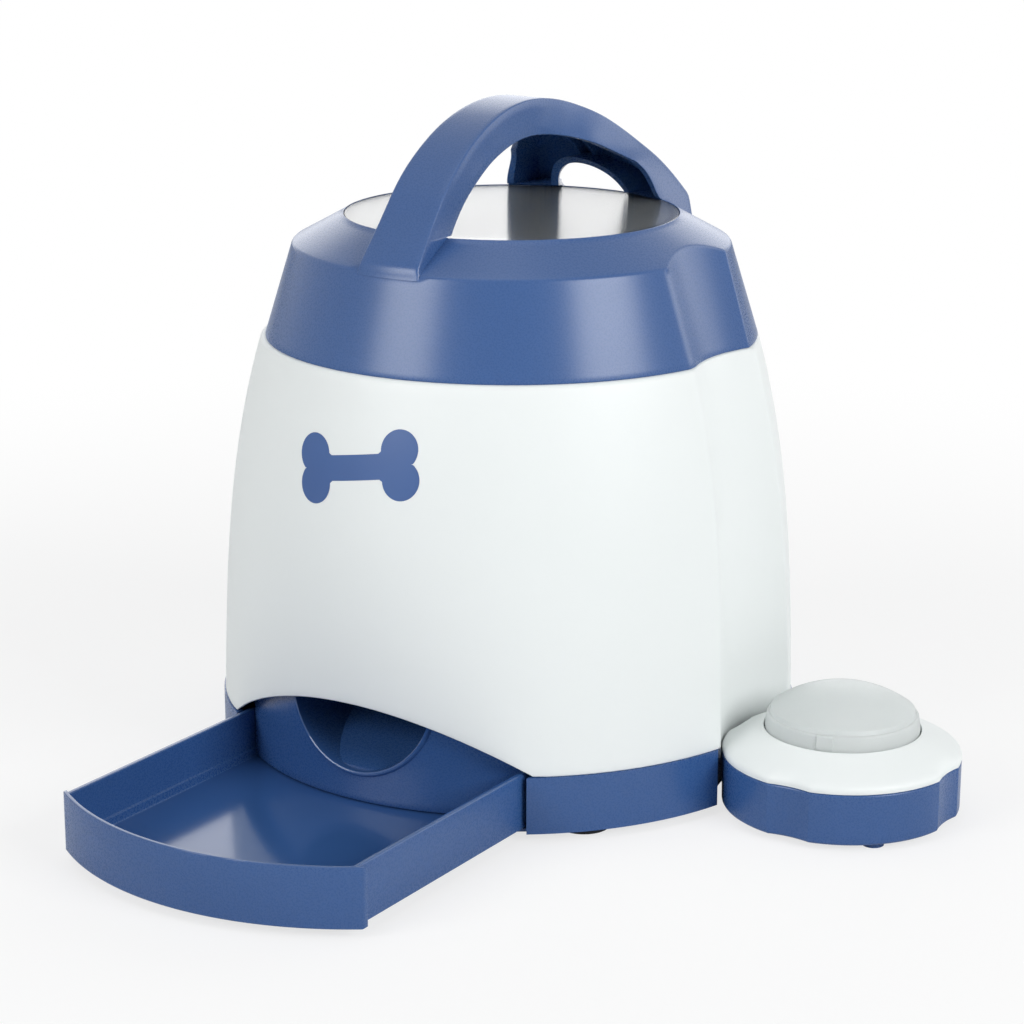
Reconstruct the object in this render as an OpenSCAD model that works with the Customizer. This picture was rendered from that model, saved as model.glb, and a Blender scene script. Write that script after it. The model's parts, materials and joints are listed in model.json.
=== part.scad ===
// Treat dispenser for dogs with a pull-out tray and a separate press-button remote.
// Millimetres, +Z up. The origin is the dispenser's own axis on the floor, the tray faces -Y
// and the remote stands at +X in front of its niche.

/* [Base] */
// Diameter of the base ring
base_d = 200; // [190:1:210]
// Height of the base ring
base_h = 19; // [18:0.5:22]
// Wall of the base ring and of its floor
base_wall = 2.4; // [2:0.1:2.8]
// Height of the rubber feet
foot_h = 3; // [2:0.5:5]
// Diameter of the rubber feet
foot_d = 17; // [12:1:18]

/* [Shell] */
// Height of the white shell, from the base ring to the collar
shell_h = 123.5; // [115:0.5:135]
// Step from the base ring in to the foot of the shell
shell_step = 0.5; // [0.3:0.1:0.8]
// Straight share of the shell's taper
shell_draft = 4; // [3:0.1:5]
// Curved share of the shell's taper
shell_crown = 11; // [9.5:0.1:12]
// Wall of the shell and of the collar
shell_wall = 2.5; // [2:0.1:2.8]
// Rise of the arched cut-out over the tray
arch_h = 19.3; // [17:0.1:22]

/* [Niche] */
// Depth of the niche at the foot of the shell
niche_foot = 11.2; // [10:0.1:12]
// Depth of the niche at the top of the shell
niche_top = 6.9; // [5:0.1:7.5]
// Depth of the niche where it runs out on the collar
niche_crease = 5.6; // [3:0.1:7]

/* [Lid] */
// Step from the shell in to the collar
collar_step = 1.4; // [1:0.1:1.6]
// Height of the collar's side, up to its crease
collar_h = 31.3; // [28:0.1:34]
// Taper of the collar's side
collar_draft = 9.6; // [6:0.1:11]
// Rise of the collar's sloping top
cone_h = 9.5; // [8:0.1:12]
// Diameter of the window
window_d = 112; // [104:0.5:116]
// Thickness of the window
window_t = 2.5; // [2:0.1:3]

/* [Handle] */
// Rise of the handle above the window
handle_rise = 37.7; // [34:0.1:42]
// Radius of the handle's outer arch
handle_r = 74.5; // [70:0.5:78]
// Depth of the handle at its top
handle_depth = 12; // [10:0.1:13]
// Width of the handle at its top
handle_w = 16.6; // [15:0.1:20]
// Width of the handle's front foot
handle_front_w = 21.6; // [20:0.1:25]
// Width where the two rear feet start
handle_fork_w = 58; // [50:0.1:60]
// Width across the two rear feet
handle_rear_w = 64; // [54:0.5:68]
// Wall of the handle's channel
handle_wall = 2.5; // [2:0.1:3]
// Half width of the gap between the rear feet
fork_half = 13.5; // [11:0.1:14]
// Height of the gap between the rear feet
fork_h = 10.6; // [9:0.1:12]
// Angle at which that gap opens out to the rear
fork_flare = 27; // [20:0.5:32]

/* [Tray] */
// Width across the tray's front
tray_w = 114.5; // [108:0.5:116]
// Travel of the tray, from pulled out to closed
tray_travel = 88.3; // [80:0.1:92]
// Wall of the tray
tray_wall = 2; // [1.6:0.1:2.4]
// How far the front stands out past the side walls
tray_ear = 1.5; // [1:0.1:2]
// Length of the tray that stays inside the base
tray_hold = 20; // [16:1:24]

/* [Dispenser] */
// Radius of the curved wall behind the arch
panel_r = 94; // [93:0.1:94]
// Height of the chute's axis above the base ring
chute_rise = 22; // [20:0.5:24]
// Radius of the chute's bore
chute_r = 27; // [25:0.5:28]
// Height of the dosing floor above the base ring
floor_rise = 70; // [66:1:74]
// Radius of the portion wheel
wheel_r = 67; // [64:0.5:68]
// Height of the portion wheel
wheel_h = 24; // [20:0.5:28]
// Number of pockets in the portion wheel
pockets = 5; // [4:1:5]
// Radius of each pocket
pocket_r = 20; // [17:0.5:20]
// Distance of the pockets from the axis
pocket_at = 42; // [41:0.5:43]
// Diameter of the wheel's shaft
shaft_d = 6; // [5:0.5:7]
// Teeth of the drive gear
gear_teeth = 30; // [30:2:30]
// Teeth of the motor pinion
pinion_teeth = 12; // [12:2:12]
// Tooth module of the gears
gear_module = 1; // [0.9:0.05:1.05]
// Diameter of the motor
motor_d = 24; // [20:0.5:28]
// Length of the motor
motor_h = 32; // [26:1:36]

/* [Power] */
// Diameter of the dispenser's cells
cell_d = 14.5; // [14:0.1:14.8]
// Length of the dispenser's cells
cell_l = 50.5; // [48:0.5:51]
// Diameter of the remote's cells
small_cell_d = 10.5; // [10:0.1:10.8]
// Length of the remote's cells
small_cell_l = 44.5; // [42:0.5:45]

/* [Remote] */
// Gap between the remote and the niche that it stands in
remote_gap = 0.7; // [0.5:0.1:4]
// Radius of the remote over its lobes
remote_r = 38.9; // [37:0.1:42]
// Height of the remote's cup
cup_h = 17.1; // [16.5:0.1:18]
// Height of the ring on the cup
ring_h = 9.4; // [9:0.1:10.5]
// Wall of the cup and the ring
cup_wall = 2; // [1.6:0.1:2.2]
// Depth of the four flutes
flute_depth = 1.6; // [1.2:0.1:2]
// Width of the four flutes
flute_w = 14.8; // [12:0.1:17]
// Height of the remote's feet
pad_h = 2; // [1.5:0.1:2.5]
// Radius of the dome button
dome_r = 25.2; // [24:0.1:26]
// Height of the dome's straight side above the ring
dome_band = 5; // [4:0.1:6]
// Rise of the dome's crown
dome_crown = 9; // [8:0.1:10]
// Travel of the dome button
press_travel = 2; // [1.5:0.1:2]

/* [Fits] */
// Gap between a sliding piece and its guide
slide_gap = 0.4; // [0.3:0.05:0.6]
// Radial gap of a turning shaft
run_gap = 0.08; // [0.05:0.01:0.1]
// Gap between parts that only clear each other
part_gap = 0.3; // [0.25:0.05:0.4]
// Radial gap of a screw in its hole
thread_gap = 0.05; // [0.02:0.01:0.08]
// Radial gap of a screw that passes through
pass_gap = 0.2; // [0.15:0.05:0.3]
// Radial gap of a pressed-on hub
press_gap = 0.02; // [0.01:0.01:0.03]
// Radius of the screws
screw_r = 1.5; // [1.2:0.1:1.6]

/* [Hidden] */
$fn = 96;
far = 300;
steps = 12;

// Heights of the main levels
base_r = base_d / 2;
floor_top = foot_h + base_wall;
base_top = foot_h + base_h;
seam_z = base_top + shell_h;
crease_z = seam_z + collar_h;
window_z = crease_z + cone_h;
window_r = window_d / 2;
gasket_t = 1;
gasket_w = 3;

// Radii of the shell and the collar
shell_foot_r = base_r - shell_step;
shell_top_r = shell_foot_r - shell_draft - shell_crown;
seam_r = shell_top_r - collar_step;
crease_r = seam_r - collar_draft;
function shell_t(z) = (z - base_top) / shell_h;
function shell_r(z) = shell_foot_r - shell_draft * shell_t(z) - shell_crown * pow(max(shell_t(z), 0), 3);

// The niche is a surface turned about the remote's axis
remote_x = shell_foot_r - niche_foot + remote_gap + remote_r;
base_back = 1.5;
function niche_depth(z) = niche_foot + (niche_top - niche_foot) * max(shell_t(z), 0);
function collar_t(z) = (z - seam_z) / collar_h;
function shell_niche(z) = shell_r(z) - niche_depth(z);
function collar_niche(z) = (1 - collar_t(z)) * shell_niche(seam_z) + collar_t(z) * (crease_r - niche_crease);
niche_levels = concat([for (i = [0 : steps]) base_top + shell_h * i / steps], [crease_z + 2 * cone_h]);
function niche_x(z) = z > seam_z ? collar_niche(z) : shell_niche(z);

// Tray, front of the base and arch
tray_half = tray_w / 2;
side_half = tray_half - tray_ear;
front_extra = 0.2;
front_wall = tray_wall + front_extra;
tray_drop = 0.2;
tray_rise = 0.9;
tray_bed = 1;
tray_floor_z = foot_h + tray_bed + part_gap;
tray_top = base_top + tray_rise;
tray_y = -tray_travel;
front_edge_y = -sqrt(base_r * base_r - tray_half * tray_half);
mouth_half = tray_half + slide_gap;
arch_room = 1.4;
arch_half = mouth_half + arch_room;
arch_r = (arch_half * arch_half + arch_h * arch_h) / (2 * arch_h);
tray_rear_y = front_edge_y + tray_hold;
rail_w = 2.4;
rail_h = 8.6;

// Dispenser train
chute_z = base_top + chute_rise;
duct_wall = 2;
duct_r = chute_r + duct_wall;
slope_over = 5;
panel_wall = 2;
bowl_floor_t = 3;
bowl_sink = 1.6;
bowl_screw_l = 14;
bowl_z = base_top + floor_rise;
bowl_rise = 2;
bowl_top = bowl_z + bowl_floor_t + wheel_h + bowl_rise;
bowl_wall = 2.4;
bowl_in_r = wheel_r + slide_gap;
bowl_r = bowl_in_r + bowl_wall;
drop_room = 1;
drop_r = pocket_r + drop_room;
wheel_z = bowl_z + bowl_floor_t + part_gap;
shaft_r = shaft_d / 2;
gear_r = gear_module * gear_teeth / 2;
pinion_r = gear_module * pinion_teeth / 2;
pinion_y = gear_r + pinion_r;
gear_h = 7;
axle_r = 1;
axle_sink = 6;
nose_r = 3.2;
gear_drop = 7;
gear_z = bowl_z - gear_h - gear_drop;
plate_t = 2.5;
plate_gap = 1.5;
plate_z = gear_z - plate_t - plate_gap;
plate_edge = 11;
plate_half = gear_r + plate_edge;
plate_reach = 12;
plate_tail = 19;
plate_y = [-plate_reach, pinion_y + plate_tail];
stud_in = 4;
stud_r = 3.5;
stud_x = plate_half - stud_in;
plate_posts = [for (sx = [-1, 1], y = [plate_y[0] + stud_in, plate_y[1] - stud_in]) [sx * stud_x, y]];
post_r = 4.5;
post_inset = 5.4;
post_ring = bowl_in_r - post_inset;
bowl_posts = [for (a = [-7.4, 47.4, 132.6, 187.4]) post_ring * [cos(a), sin(a)]];
case_inset = 7;
case_posts = [for (a = [30, 150, 210, 330]) (shell_foot_r - case_inset) * [cos(a), sin(a)]];
case_boss_h = 24;
boss_end = 4;
head_h = 1.8;
head_sink = 2;
foot_inset = 13;
foot_spots = [for (a = [48, 132, 222, 318]) (base_r - foot_inset) * [cos(a), sin(a)]];
stop_t = 2;
hopper_wall = 2;
hopper_z = bowl_top + stop_t;
hopper_drop = 9.5;
hopper_flare = 5;
hopper_top = seam_z - hopper_drop;
hopper_top_r = bowl_r + hopper_flare;

// Cells in the base
cell_room = 0.5;
cell_pitch = cell_d + cell_room;
box_wall = 1.6;
contact_t = 0.5;
box_half = 2 * cell_pitch + cell_room;
box_gap = 5;
box_front = tray_rear_y + tray_travel + box_gap;
box_rear = box_front + cell_l + 2 * contact_t;
box_rise = 1.5;
box_top = floor_top + cell_d + box_rise;
door_t = 1.6;
door_lip = 2;
board_t = 1.6;

// Mode switch and lamp at the rear
switch_half = 9;
switch_y = base_r - base_wall - 1.6;
switch_depth = 5;
switch_z = foot_h + 11;
slider_half = 2.5;
slider_h = 4;
led_x = 14;
led_r = 1.5;
speaker_r = 15;
speaker_h = 7.5;
speaker_rim = 2;
speaker_room = base_r - base_wall - speaker_r - 1;
speaker_x = side_half + slide_gap + rail_w + speaker_r + 1;
speaker_at = [-speaker_x, sqrt(max(speaker_room * speaker_room - speaker_x * speaker_x, 0)) / 2];
sound_hole_r = 1.5;
sound_ring = 8;

// Remote
cup_floor = pad_h + cup_wall;
ring_z = pad_h + cup_h;
ring_top = ring_z + ring_h;
flute_turn = asin(flute_w / 2 / remote_r);
flute_sag = flute_depth - remote_r * (1 - cos(flute_turn));
flute_r = (flute_w * flute_w / 4 + flute_sag * flute_sag) / (2 * flute_sag);
flute_at = remote_r - flute_depth + flute_r;
hole_r = dome_r + slide_gap;
dome_wall = 1.8;
band_top = ring_top + dome_band;
dome_top = band_top + dome_crown;
crown_r = (dome_r * dome_r + dome_crown * dome_crown) / (2 * dome_crown);
flange_drop = 2;
flange_top = ring_top - cup_wall - flange_drop;
flange_t = 1.6;
board_drop = 1;
board_z = ring_z - board_drop;
button_h = 1.6;
button_top = board_z + board_t + button_h;
stem_r = 3;
stem_z = button_top + press_travel + part_gap;
remote_post_x = remote_r - 9.5;
remote_post_y = remote_r - 13.5;
remote_posts = [[remote_post_x, 0], [-remote_post_x, 0], [0, remote_post_y], [0, -remote_post_y]];
remote_post_r = 3;
pad_r = 3.5;
pad_inset = 6.5;
pad_spots = [for (a = [45 : 90 : 315]) (remote_r - pad_inset) * [cos(a), sin(a)]];
hatch_room = [3.5, 5];
hatch = [small_cell_l + hatch_room[0], 2 * small_cell_d + hatch_room[1]];
spring_r = 6;
wire_r = 0.5;
spring_turns = 5;
spring_low = board_z + board_t + wire_r;
spring_high = dome_top - dome_wall - wire_r - spring_r * spring_r / (2 * crown_r) - 0.2;

module blue() {
    color("#3f639c") children();
}

module ring(r_out, r_in, h) {
    difference() {
        cylinder(r = r_out, h = h);
        translate([0, 0, -1]) cylinder(r = r_in, h = h + 2);
    }
}

module box(x, y, z) {
    translate([x[0], y[0], z[0]]) cube([x[1] - x[0], y[1] - y[0], z[1] - z[0]]);
}

// A cylinder that lies along Y
module along_y(r, x, z, y) {
    translate([x, y[0], z]) rotate([-90, 0, 0]) cylinder(r = r, h = y[1] - y[0]);
}

// The shell's outer form, drawn in by inset and carried on past both ends by over
module shell_form(inset, over) {
    levels = [for (i = [0 : steps]) base_top + shell_h * i / steps];
    sides = [for (z = levels) [shell_r(z) - inset, z]];
    low = [[0, base_top - over], [shell_r(base_top) - inset, base_top - over]];
    high = [[shell_r(seam_z) - inset, seam_z + over], [0, seam_z + over]];
    rotate_extrude() polygon(concat(low, sides, high));
}

// Space cut away for the remote, grown by wall
module niche_form(wall) {
    low = [[0, -10], [remote_x - niche_x(base_top) + wall, -10]];
    sides = [for (z = niche_levels) [remote_x - niche_x(z) + wall, z]];
    high = [[0, niche_levels[len(niche_levels) - 1]]];
    translate([remote_x, 0, 0]) rotate_extrude() polygon(concat(low, sides, high));
}

module screw(length, head_r, head_h) {
    cylinder(r = screw_r, h = length);
    translate([0, 0, -head_h]) cylinder(r = head_r, h = head_h);
}

// The tray's front wall is an arc of the base ring's own radius
module front_sector(r_out, r_in, half, z) {
    intersection() {
        translate([0, 0, z[0]]) ring(r_out, r_in, z[1] - z[0]);
        box([-half, half], [-far, 0], [z[0] - 1, z[1] + 1]);
    }
}

module base_floor() {
    difference() {
        translate([0, 0, foot_h]) cylinder(r = base_r - base_wall / 2, h = base_wall);
        front_sector(base_r + 1, base_r - front_wall - slide_gap, mouth_half, [0, base_top]);
        // Sunk bed that the tray slides on
        box([-side_half - slide_gap, side_half + slide_gap], [-far, tray_rear_y + tray_travel + slide_gap],
            [foot_h + tray_bed, base_top]);
        box([-box_half - door_lip, box_half + door_lip], [box_front - door_lip, box_rear + door_lip],
            [0, foot_h + door_t]);
        box([-box_half, box_half], [box_front, box_rear], [0, base_top]);
        for (a = [0 : 60 : 300]) {
            translate([speaker_at[0] + sound_ring * cos(a), speaker_at[1] + sound_ring * sin(a), 0])
                cylinder(r = sound_hole_r, h = base_top);
        }
        translate([speaker_at[0], speaker_at[1], 0]) cylinder(r = sound_hole_r, h = base_top);
    }
}

module base_side() {
    difference() {
        translate([0, 0, foot_h]) ring(base_r, base_r - base_wall, base_h);
        box([-mouth_half, mouth_half], [-far, 0], [0, base_top + 1]);
        box([-slider_half - 4, slider_half + 4], [0, far],
            [switch_z - slider_h / 2 - part_gap, switch_z + slider_h / 2 + part_gap]);
        along_y(led_r + 0.1, led_x, switch_z, [0, far]);
        niche_form(base_back);
    }
    // The ring's own wall behind the remote, which stays back under the shell
    intersection() {
        difference() {
            niche_form(base_back + base_wall);
            niche_form(base_back);
        }
        translate([0, 0, foot_h]) cylinder(r = base_r, h = base_h);
    }
}

module base_pan() {
    blue() difference() {
        union() {
            difference() {
                base_floor();
                niche_form(base_back);
            }
            base_side();
            for (sx = [-1, 1]) {
                box([sx * (side_half + slide_gap + rail_w / 2) - rail_w / 2,
                     sx * (side_half + slide_gap + rail_w / 2) + rail_w / 2],
                    [front_edge_y + 5, box_front - 6], [floor_top - 0.1, floor_top + rail_h]);
            }
            difference() {
                box([-box_half - box_wall, box_half + box_wall], [box_front - box_wall, box_rear + box_wall],
                    [floor_top - 0.1, box_top]);
                box([-box_half, box_half], [box_front, box_rear], [0, far]);
            }
            for (p = bowl_posts) {
                translate([p[0], p[1], floor_top - 0.1]) cylinder(r = post_r, h = bowl_z - floor_top + 0.1);
            }
            for (p = case_posts) {
                translate([p[0], p[1], floor_top - 0.1]) cylinder(r = post_r, h = base_top - floor_top + 0.1);
            }
        }
        for (p = bowl_posts) {
            translate([p[0], p[1], bowl_z - bowl_screw_l - 2])
                cylinder(r = screw_r + thread_gap, h = bowl_screw_l + 3);
        }
        for (p = case_posts) {
            translate([p[0], p[1], 0]) cylinder(r = screw_r + pass_gap, h = base_top + 1);
            translate([p[0], p[1], 0]) cylinder(r = 2 * screw_r + pass_gap, h = floor_top + head_sink);
        }
    }
}

module rubber_feet() {
    color("#2b2d31") for (p = foot_spots) {
        translate([p[0], p[1], 0]) cylinder(d = foot_d, h = foot_h);
    }
}

module battery_door() {
    gap = part_gap;
    blue() box([-box_half - door_lip + gap, box_half + door_lip - gap],
               [box_front - door_lip + gap, box_rear + door_lip - gap], [foot_h, foot_h + door_t]);
}

module battery_cells() {
    tip_r = 2.6;
    tip_h = 1.5;
    cell_z = foot_h + door_t + cell_d / 2;
    ends = [box_front + contact_t, box_rear - contact_t];
    color("#4d5257") for (i = [-1.5 : 1 : 1.5]) {
        along_y(cell_d / 2, i * cell_pitch, cell_z, [ends[0], ends[1] - tip_h]);
        along_y(tip_r, i * cell_pitch, cell_z, ends);
    }
}

module battery_contacts() {
    half = cell_pitch - 1;
    z = [floor_top + 2, floor_top + cell_d - 2];
    color("#c9c9c6") for (x = [-cell_pitch, cell_pitch]) {
        box([x - half, x + half], [box_front, box_front + contact_t], z);
        box([x - half, x + half], [box_rear - contact_t, box_rear], z);
    }
}

module body_shell() {
    color("#eaf0ef") difference() {
        union() {
            difference() {
                shell_form(0, 0);
                niche_form(0);
                difference() {
                    shell_form(shell_wall, 2);
                    niche_form(shell_wall);
                }
            }
            intersection() {
                shell_form(shell_wall / 2, 0);
                for (p = case_posts) {
                    translate([p[0], p[1], base_top]) cylinder(r = post_r, h = case_boss_h);
                }
            }
        }
        along_y(arch_r, 0, base_top + arch_h - arch_r, [-far, 0]);
        for (p = case_posts) {
            translate([p[0], p[1], 0])
                cylinder(r = screw_r + thread_gap, h = base_top + case_boss_h - boss_end);
        }
    }
}

// The collar's outer form, filled up to the window
module collar_form(inset) {
    slope = cone_h / (crease_r - window_r);
    rotate_extrude() polygon([
        [0, seam_z - 1],
        [seam_r - inset, seam_z - 1],
        [seam_r - inset, seam_z],
        [crease_r - inset, crease_z - inset * slope],
        [window_r, window_z - 1.2 * inset],
        [0, window_z - 1.2 * inset]
    ]);
}

module lid_collar() {
    seat_z = window_z - window_t - gasket_t;
    seat_t = 2;
    seat_reach = 4;
    spigot_h = 6;
    spigot_t = 2;
    spigot_r = shell_top_r - shell_wall - slide_gap;
    spigot_clear = remote_x - niche_x(seam_z) + shell_wall + slide_gap;
    blue() difference() {
        union() {
            difference() {
                collar_form(0);
                niche_form(0);
                difference() {
                    collar_form(shell_wall);
                    niche_form(shell_wall);
                }
                translate([0, 0, seam_z - 2]) cylinder(r = base_r, h = 2);
            }
            translate([0, 0, seat_z - seat_t]) ring(window_r + seat_t, window_r - seat_reach, seat_t);
            difference() {
                translate([0, 0, seam_z - spigot_h]) ring(spigot_r, spigot_r - spigot_t, spigot_h + spigot_t);
                translate([remote_x, 0, 0]) cylinder(r = spigot_clear, h = far);
            }
        }
        translate([0, 0, seat_z]) cylinder(r = window_r + 0.2, h = far);
        translate([0, 0, seat_z - seat_t - 1]) cylinder(r = window_r - seat_reach, h = far);
    }
}

// Outline of the handle's arch, in the plane of Y and Z: an arc that runs out into two straight legs
module arch_outline() {
    top_z = window_z + handle_rise;
    mid_z = top_z - handle_r;
    lean = 51.3;
    leg_r = handle_r + 0.1;
    foot_z = crease_z - 4;
    foot_y = (leg_r - (foot_z - mid_z) * cos(lean)) / sin(lean);
    under_r = handle_r - handle_depth / 2;
    difference() {
        polygon([[-foot_y, foot_z], [foot_y, foot_z], [0, mid_z + leg_r / cos(lean)]]);
        difference() {
            translate([-far, mid_z + handle_r * cos(lean)]) square([2 * far, far]);
            translate([0, mid_z]) circle(r = handle_r);
        }
        translate([0, top_z - handle_depth - under_r]) circle(r = under_r);
    }
}

// The handle seen from above: slim at the front, spread over two feet at the rear
module handle_plan(inset) {
    half = handle_w / 2;
    front = handle_front_w / 2;
    foot_start = 6;
    foot_end = 4;
    reach = window_r + foot_start;
    spread = handle_fork_w / 2 - half;
    flare_r = (reach * reach + spread * spread) / (2 * spread);
    flare_y = [for (i = [0 : 8]) reach * i / 8];
    flare = [for (y = flare_y) [half + flare_r - sqrt(flare_r * flare_r - y * y), y]];
    feet = [[handle_rear_w / 2, crease_r - foot_end], [handle_rear_w / 2 + foot_end, base_r]];
    right = concat([[front, -base_r], [front, 1 - crease_r]], flare, feet);
    left = [for (i = [len(right) - 1 : -1 : 0]) [-right[i][0] + inset, right[i][1]]];
    translate([0, 0, seam_z]) linear_extrude(far) polygon(concat([for (p = right) p - [inset, 0]], left));
}

// A round tunnel with a cone that opens out to the rear, both with the same level top line
module fork_gap(wall) {
    r = (fork_half * fork_half + fork_h * fork_h) / (2 * fork_h);
    tip_r = 0.5;
    tip_y = window_r / 2;
    length = base_r - tip_y;
    along_y(r + wall, 0, window_z + fork_h - r, [handle_r / 4, base_r]);
    translate([0, tip_y, window_z + fork_h]) rotate([-90 - fork_flare, 0, 0])
        translate([0, 0, tip_r / tan(fork_flare) - wall / sin(fork_flare)])
            cylinder(r1 = tip_r, r2 = tip_r + length * tan(fork_flare), h = length);
}

module carry_handle() {
    top_z = window_z + handle_rise;
    rib_w = 1.2;
    rib_h = 3;
    rib_x = 3;
    solid_foot = 3;
    blue() difference() {
        intersection() {
            rotate([90, 0, 90]) translate([0, 0, -far / 2]) linear_extrude(far) arch_outline();
            handle_plan(0);
            translate([0, 0, crease_z]) cylinder(r = crease_r, h = far);
        }
        difference() {
            intersection() {
                translate([-far / 2, 0, top_z - handle_r]) rotate([0, 90, 0])
                    cylinder(r = handle_r - handle_wall, h = far);
                handle_plan(handle_wall);
                translate([0, 0, window_z + solid_foot]) cylinder(r = base_r, h = far);
            }
            fork_gap(handle_wall);
            for (x = [-rib_x, rib_x]) {
                translate([x - rib_w / 2, 0, top_z - handle_r]) rotate([0, 90, 0])
                    ring(handle_r, handle_r - handle_wall - rib_h, rib_w);
            }
        }
        fork_gap(0);
        collar_form(0);
        translate([0, 0, seam_z]) cylinder(r = window_r + part_gap, h = window_z - seam_z + part_gap);
    }
}

module lid_window() {
    color("#b9c4c4") translate([0, 0, window_z - window_t]) cylinder(r = window_r, h = window_t);
}

module window_gasket() {
    color("#4a4f55") translate([0, 0, window_z - window_t - gasket_t])
        ring(window_r, window_r - gasket_w, gasket_t);
}

module hopper() {
    rim_r = shell_r(hopper_top) - shell_wall - part_gap;
    color("#dfe5e6") {
        rotate_extrude() polygon([
            [bowl_r, hopper_z],
            [hopper_top_r, hopper_top],
            [hopper_top_r - hopper_wall, hopper_top],
            [bowl_r - hopper_wall, hopper_z]
        ]);
        difference() {
            translate([0, 0, hopper_top - hopper_wall])
                ring(rim_r, hopper_top_r - hopper_wall / 2, hopper_wall);
            niche_form(shell_wall + part_gap);
        }
    }
}

// Keeps the food over the outlet from falling straight through
module stop_cover() {
    color("#dfe5e6") translate([0, 0, bowl_top]) {
        ring(bowl_r, bowl_in_r, stop_t);
        intersection() {
            translate([0, -pocket_at, 0]) cylinder(r = bowl_r - pocket_at, h = stop_t);
            cylinder(r = bowl_r - bowl_wall / 2, h = stop_t);
        }
    }
}

module dosing_bowl() {
    color("#dfe5e6") difference() {
        union() {
            translate([0, 0, bowl_z]) cylinder(r = bowl_r, h = bowl_floor_t);
            translate([0, 0, bowl_z]) ring(bowl_r, bowl_in_r, bowl_top - bowl_z);
            translate([0, 0, bowl_z - 6]) cylinder(r = shaft_r + 3, h = 7);
        }
        translate([0, 0, bowl_z - 7]) cylinder(r = shaft_r + run_gap, h = 20);
        translate([0, -pocket_at, bowl_z - 1]) cylinder(r = drop_r, h = bowl_floor_t + 2);
        for (p = bowl_posts) {
            translate([p[0], p[1], bowl_z - 1]) cylinder(r = screw_r + thread_gap, h = bowl_floor_t + 2);
            translate([p[0], p[1], bowl_z + bowl_floor_t - bowl_sink])
                cylinder(r = 2 * screw_r, h = head_sink);
        }
        for (p = plate_posts) {
            translate([p[0], p[1], bowl_z - 1]) cylinder(r = screw_r + thread_gap, h = bowl_floor_t);
        }
    }
}

module portion_wheel() {
    color("#5b86c4") translate([0, 0, wheel_z]) difference() {
        cylinder(r = wheel_r, h = wheel_h);
        translate([0, 0, -1]) cylinder(r = shaft_r + press_gap, h = wheel_h + 2);
        for (i = [0 : pockets - 1]) {
            rotate(-90 + 360 * i / pockets) translate([pocket_at, 0, -1])
                cylinder(r = pocket_r, h = wheel_h + 2);
        }
    }
}

module wheel_shaft() {
    color("#b5b8ba") translate([0, 0, plate_z]) cylinder(r = shaft_r, h = wheel_z + wheel_h - plate_z);
}

// One gear with slim teeth, a tooth on +X
module gear(teeth, h, bore_r) {
    pitch_r = gear_module * teeth / 2;
    root_share = 0.24;
    tip_share = 0.1;
    root_r = pitch_r - 1.15 * gear_module;
    tip_r = pitch_r + 0.85 * gear_module;
    root_turn = 360 / teeth * root_share;
    tip_turn = 360 / teeth * tip_share;
    difference() {
        linear_extrude(h) polygon([
            for (i = [0 : teeth - 1], p = [[root_r, -root_turn], [tip_r, -tip_turn], [tip_r, tip_turn],
                                           [root_r, root_turn]])
                p[0] * [cos(360 * i / teeth + p[1]), sin(360 * i / teeth + p[1])]
        ]);
        translate([0, 0, -1]) cylinder(r = bore_r, h = h + 2);
    }
}

module drive_gear() {
    color("#e6e2d6") translate([0, 0, gear_z]) gear(gear_teeth, gear_h, shaft_r + press_gap);
}

module motor_pinion() {
    color("#c8b070") translate([0, pinion_y, 0]) {
        translate([0, 0, gear_z]) gear(pinion_teeth, gear_h, axle_r / 2);
        translate([0, 0, plate_z - axle_sink])
            cylinder(r = axle_r, h = gear_z + gear_h - plate_z + axle_sink);
    }
}

module motor() {
    color("#9a9ea1") translate([0, pinion_y, 0]) difference() {
        union() {
            translate([0, 0, plate_z - motor_h]) cylinder(d = motor_d, h = motor_h);
            translate([0, 0, plate_z]) cylinder(r = nose_r, h = plate_t);
        }
        translate([0, 0, plate_z - axle_sink - part_gap])
            cylinder(r = axle_r + run_gap, h = axle_sink + 2 * plate_t);
    }
}

module gearbox_plate() {
    color("#dfe5e6") difference() {
        union() {
            box([-plate_half, plate_half], plate_y, [plate_z, plate_z + plate_t]);
            for (p = plate_posts) {
                translate([p[0], p[1], plate_z]) cylinder(r = stud_r, h = bowl_z - plate_z);
            }
        }
        translate([0, 0, plate_z - 1]) cylinder(r = shaft_r + run_gap, h = plate_t + 2);
        translate([0, pinion_y, plate_z - 1]) cylinder(r = nose_r + thread_gap, h = plate_t + 2);
        for (p = plate_posts) {
            translate([p[0], p[1], plate_z - 1]) cylinder(r = screw_r + thread_gap, h = bowl_z - plate_z + 2);
        }
    }
}

module chute_panel() {
    half = side_half - tray_wall - slide_gap;
    low = tray_floor_z + tray_wall + 0.5;
    rim_r = chute_r + 1.6;
    rim_step = 0.8;
    rim_top = chute_r - 18;
    blue() difference() {
        union() {
            front_sector(panel_r, panel_r - panel_wall, half, [low, chute_z + chute_r + 5]);
            intersection() {
                along_y(rim_r, 0, chute_z, [-far, 0]);
                translate([0, 0, chute_z - rim_r])
                    ring(panel_r + rim_step, panel_r - panel_wall, rim_r + rim_top);
            }
        }
        along_y(chute_r, 0, chute_z, [-far, 0]);
    }
}

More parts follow.
